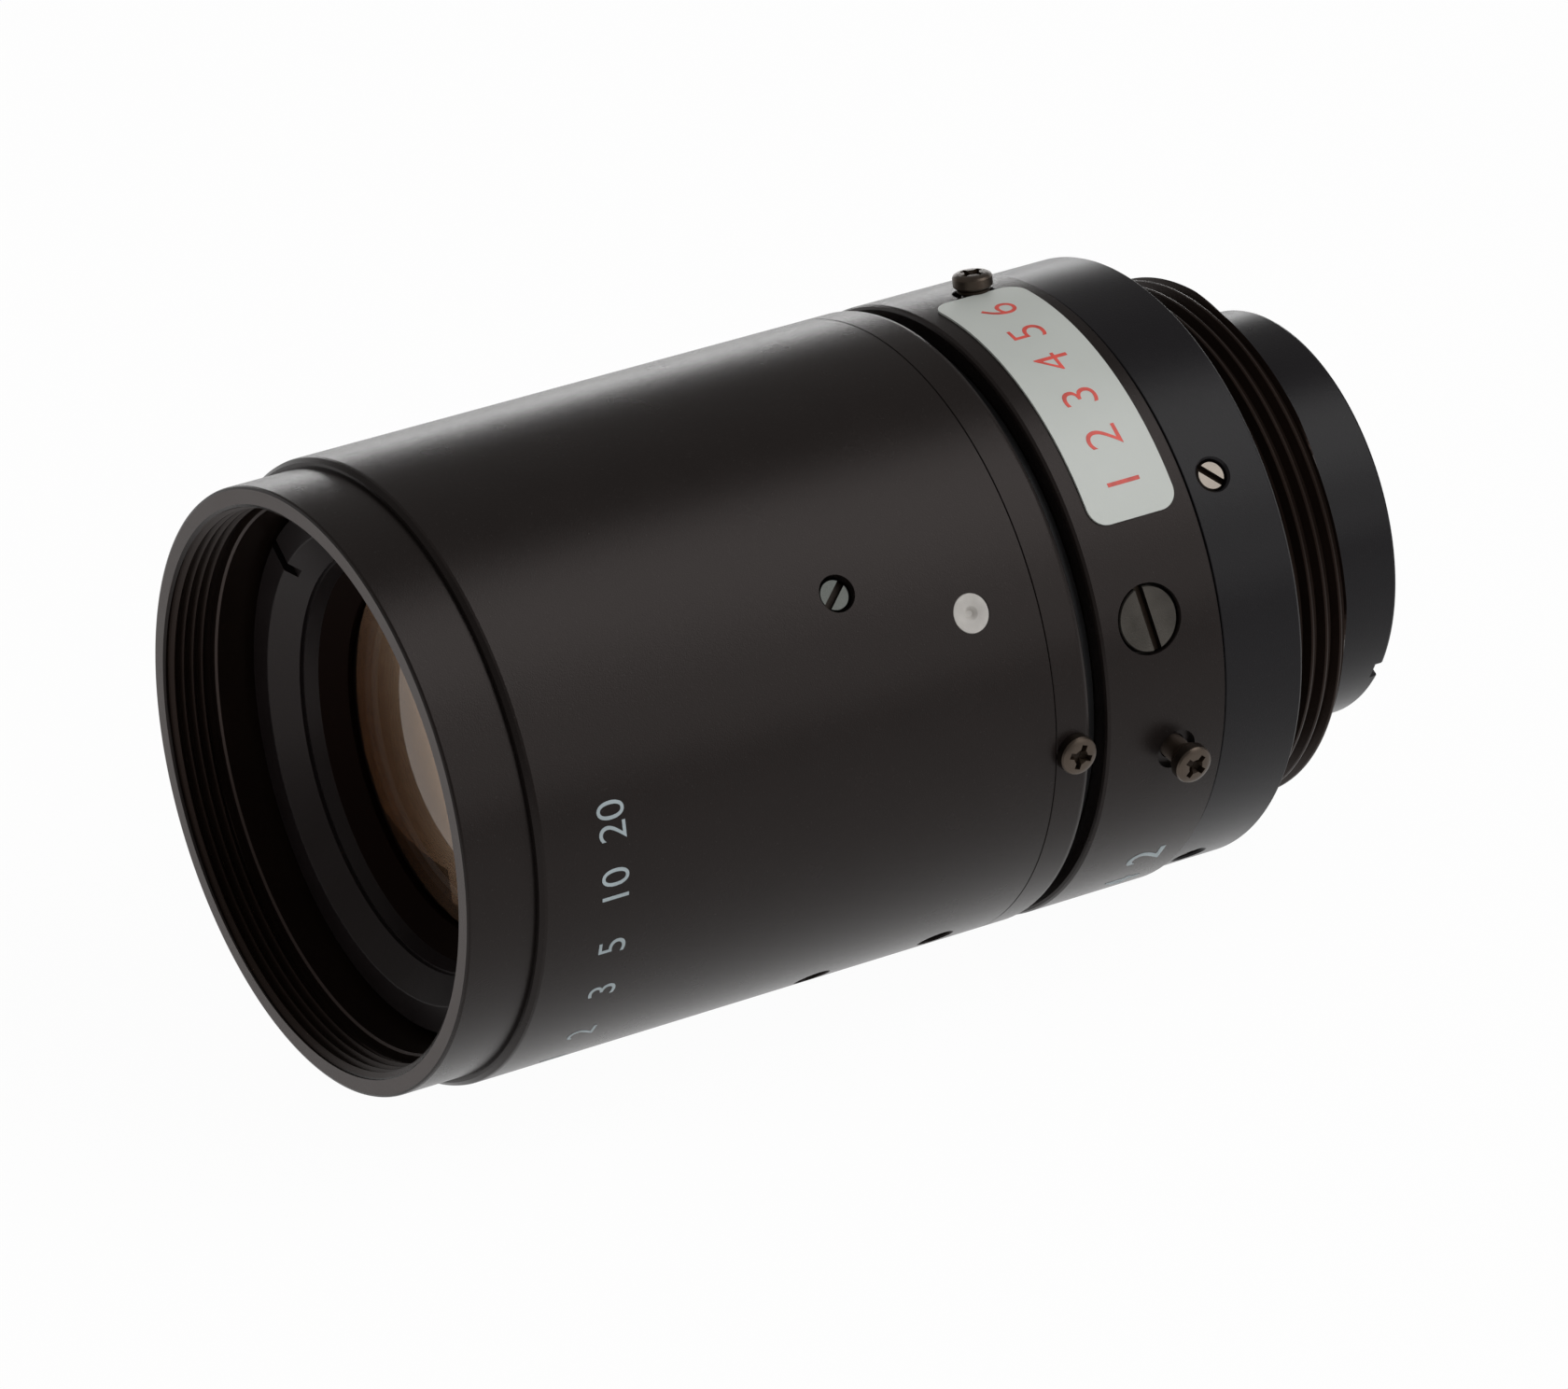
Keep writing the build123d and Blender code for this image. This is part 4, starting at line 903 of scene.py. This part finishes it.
def wrapped(name, flat, radius, start_angle, station, material, body, slot, *nodes):
    """Bends a flat shape round the lens. Its x runs to falling angles, its y to the front."""
    graph = bpy.context.evaluated_depsgraph_get()
    mesh = bpy.data.meshes.new_from_object(flat.evaluated_get(graph))
    bm = bmesh.new()
    bm.from_mesh(mesh)
    bpy.data.meshes.remove(mesh)
    bpy.data.objects.remove(flat)
    xs = [v.co.x for v in bm.verts]
    at = min(xs) + BEND_STEP
    while at < max(xs):
        bmesh.ops.bisect_plane(bm, geom=bm.verts[:] + bm.edges[:] + bm.faces[:], dist=1e-6,
                               plane_co=(at, 0, 0), plane_no=(1, 0, 0))
        at += BEND_STEP
    for v in bm.verts:
        angle = start_angle - degrees(v.co.x / radius)
        v.co = place(radius + v.co.z, angle, station + v.co.y)
    piece = new_object(name, bm, material)
    smooth(piece, 40)
    return finish(piece, body, slot, *nodes)


def flat_outline(points, thick):
    """Flat filled shape of a closed outline."""
    curve = bpy.data.curves.new("outline", "CURVE")
    curve.dimensions = "2D"
    curve.fill_mode = "BOTH"
    curve.extrude = thick / 2
    spline = curve.splines.new("POLY")
    spline.points.add(len(points) - 1)
    for point, (x, y) in zip(spline.points, points):
        point.co = (x, y, thick / 2, 1)
    spline.use_cyclic_u = True
    piece = bpy.data.objects.new("outline", curve)
    bpy.context.scene.collection.objects.link(piece)
    return piece


def label():
    width = radians(LABEL_ANGLES[1] - LABEL_ANGLES[0]) * LABEL_R
    height = LABEL_S[1] - LABEL_S[0]
    corner = LABEL_CORNER
    points = []
    for cx, cy, start in ((width - corner, height - corner, 0), (corner, height - corner, 90),
                          (corner, corner, 180), (width - corner, corner, 270)):
        for k in range(13):
            turn = radians(start + 90 * k / 12)
            points.append((cx + corner * cos(turn), cy + corner * sin(turn)))
    flat = flat_outline(points, LABEL_R - IRIS_R)
    return wrapped("number_label_film", flat, IRIS_R, LABEL_ANGLES[1], LABEL_S[0], LABEL_FILM,
                   "iris", "label_paper", "number_label")


def number(name, text, size, weight, radius, angle, station, material, body, slot):
    """Printed number whose middle stands at an angle and a station."""
    curve = bpy.data.curves.new(name, "FONT")
    curve.body = text
    curve.size = size
    curve.offset = weight
    curve.extrude = INK
    curve.align_x = "CENTER"
    curve.align_y = "CENTER"
    piece = bpy.data.objects.new(name, curve)
    bpy.context.scene.collection.objects.link(piece)
    return wrapped(name, piece, radius + INK, angle, station, material, body, slot)


def printed(name, first, row, size, weight, radius, station, material, body, slot):
    """Row of printed numbers, whose names count up from the first."""
    for k, (text, angle) in enumerate(row, first):
        number(f"{name}_{k}", text, size, weight, radius, angle, station, material, body, slot)


# Camera, light and floor

def camera():
    data = bpy.data.cameras.new("camera")
    data.lens = CAMERA_LENS
    data.sensor_width = 36.0
    data.sensor_fit = "HORIZONTAL"
    data.clip_start = 0.01
    data.clip_end = 20.0
    piece = bpy.data.objects.new("camera", data)
    right = Vector(CAMERA_RIGHT).normalized()
    back = Vector(CAMERA_BACK).normalized()
    up = back.cross(right)
    piece.matrix_world = Matrix((
        (right.x, up.x, back.x, CAMERA_AT[0]),
        (right.y, up.y, back.y, CAMERA_AT[1]),
        (right.z, up.z, back.z, CAMERA_AT[2]),
        (0, 0, 0, 1),
    ))
    bpy.context.scene.collection.objects.link(piece)
    bpy.context.scene.camera = piece


def area_light(name, spot, width, height, power):
    """Rectangular light that faces the lens."""
    data = bpy.data.lights.new(name, "AREA")
    data.energy = power
    data.shape = "RECTANGLE"
    data.size = width
    data.size_y = height
    piece = bpy.data.objects.new(name, data)
    facing = (Vector(LIGHTS_AIM) - Vector(spot)).to_track_quat("-Z", "Y")
    piece.matrix_world = Matrix.Translation(spot) @ facing.to_matrix().to_4x4()
    bpy.context.scene.collection.objects.link(piece)


def white_where_seen(tree, share):
    """The stage is plain white to the camera, to mirrors and to glass, less the object's shadow."""
    path = add(tree, "LightPath")
    seen = path.outputs["Is Camera Ray"]
    for kind in ("Is Glossy Ray", "Is Transmission Ray"):
        seen = maths(tree, "MAXIMUM", seen, path.outputs[kind])
    white = add(tree, "Emission", {"Color": (1, 1, 1, 1), "Strength": 1.0})
    mix = add(tree, "MixShader")
    tree.links.new(maths(tree, "MULTIPLY", seen, share), mix.inputs[0])
    tree.links.new(tree.nodes["Principled BSDF"].outputs[0], mix.inputs[1])
    tree.links.new(white.outputs[0], mix.inputs[2])
    tree.links.new(mix.outputs[0], tree.nodes["Material Output"].inputs["Surface"])


def paper(name, share):
    """Matt white studio paper."""
    material, tree, shader = new_material(name)
    where = add(tree, "TexCoord").outputs["Object"]
    ramp = add(tree, "ValToRGB")
    ramp.color_ramp.elements[0].color = (0.90, 0.89, 0.88, 1)
    ramp.color_ramp.elements[1].color = (0.93, 0.925, 0.92, 1)
    tree.links.new(noise(tree, where, 30), ramp.inputs["Fac"])
    tree.links.new(ramp.outputs["Color"], shader.inputs["Base Color"])
    set_inputs(shader, {"Roughness": 0.9, "Specular IOR Level": 0.1})
    white_where_seen(tree, share)
    return material


def world():
    studio = bpy.data.worlds.new("studio")
    bpy.context.scene.world = studio
    studio.use_nodes = True
    set_inputs(studio.node_tree.nodes["Background"],
               {"Color": (*ROOM_COLOUR, 1), "Strength": ROOM_LEVEL})


def floor():
    height = -BARREL_R * MM - FLOOR_GAP
    steps = [-FLOOR_HALF + 2 * FLOOR_HALF * i / FLOOR_CELLS for i in range(FLOOR_CELLS + 1)]
    bm = bmesh.new()
    grid = [[bm.verts.new((x, y, height)) for y in steps] for x in steps]
    for i in range(FLOOR_CELLS):
        for j in range(FLOOR_CELLS):
            bm.faces.new((grid[i][j], grid[i + 1][j], grid[i + 1][j + 1], grid[i][j + 1]))
    new_object("floor", bm, paper("floor_paper", FLOOR_WHITE))


def backdrop():
    """Curved white paper behind the lens, as seen from the camera."""
    low, high = -BARREL_R * MM, BACKDROP_TOP
    turns = [radians(BACKDROP_MIDDLE + BACKDROP_SPAN * (k / BACKDROP_CELLS - 0.5))
             for k in range(BACKDROP_CELLS + 1)]
    bm = bmesh.new()
    for near, far in zip(turns, turns[1:]):
        bm.faces.new([
            bm.verts.new((BACKDROP_DISTANCE * sin(turn), BACKDROP_DISTANCE * cos(turn), height))
            for turn, height in ((near, low), (far, low), (far, high), (near, high))
        ])
    new_object("backdrop", bm, paper("backdrop_paper", 1.0))


def build():
    dress_frame()
    mount_housing()
    rear_cell()
    iris_ring()
    drive_screw()
    cross_screw("iris_lock_upper_screw", LOCK_UPPER_AT, 15.80, 20, "iris_lock_upper",
                "iris_lock_screw_upper", 0.80)
    cross_screw("iris_lock_side_screw", LOCK_SIDE_AT, 16.45, 50, "iris_lock_side",
                "iris_lock_screw_side", 0.80)
    cross_screw("focus_lock_cross_screw", FOCUS_LOCK_AT, 15.45, 70, "focus_lock",
                "focus_lock_screw")
    focus_collar()
    focus_barrel()
    set_screws("barrel_slot_screws", BARREL_SCREWS, 0.80, 13.60, 14.55, 42, 0.36, GREY_STEEL,
               "focus", "steel_grey", "barrel_set_screws")
    set_screws("housing_slot_screws", HOUSING_SCREWS, 0.75, 11.30, 14.45, 134, 0.34, BRIGHT_STEEL,
               "housing", "steel_bright", "housing_set_screws")
    index_dot()
    front_rim()
    retaining_ring()
    lens("front_glass", (39.35, 24.0), (35.35, -150.0), 9.90, FRONT_GLASS, REAR_COATING,
         "front_element", "coated_glass")
    lens("second_glass", (34.90, 16.0), (31.381, 30.0), 9.90, INNER_GLASS, INNER_GLASS,
         "second_element", "clear_glass")
    lens("doublet_glass", (29.40, 12.5), (24.61, 9000.0), 8.80, INNER_GLASS, INNER_GLASS,
         "front_doublet_outer", "clear_glass")
    label()
    printed("label_digit", 1, LABEL_DIGITS, 2.65, -0.03, LABEL_R, 7.55, RED_PRINT,
            "iris", "label_paper")
    printed("barrel_number", 0, BARREL_NUMBERS, 2.05, -0.01, BARREL_R, 37.53, BLUE_PRINT,
            "focus", "dot_paint")
    printed("ring_number", 0, RING_NUMBERS, 2.7, 0.02, IRIS_R, 6.80, BLUE_PRINT,
            "iris", "dot_paint")


camera()
world()
area_light("softbox", SOFTBOX_AT, SOFTBOX_SIZE, SOFTBOX_SIZE, SOFTBOX_POWER)
area_light("side_box", SIDE_BOX_AT, SIDE_BOX_SIZE, SIDE_BOX_SIZE, SIDE_BOX_POWER)
area_light("low_box", LOW_BOX_AT, *LOW_BOX_SIZE, LOW_BOX_POWER)
floor()
backdrop()
build()

scene = bpy.context.scene
scene.view_settings.view_transform = "Standard"
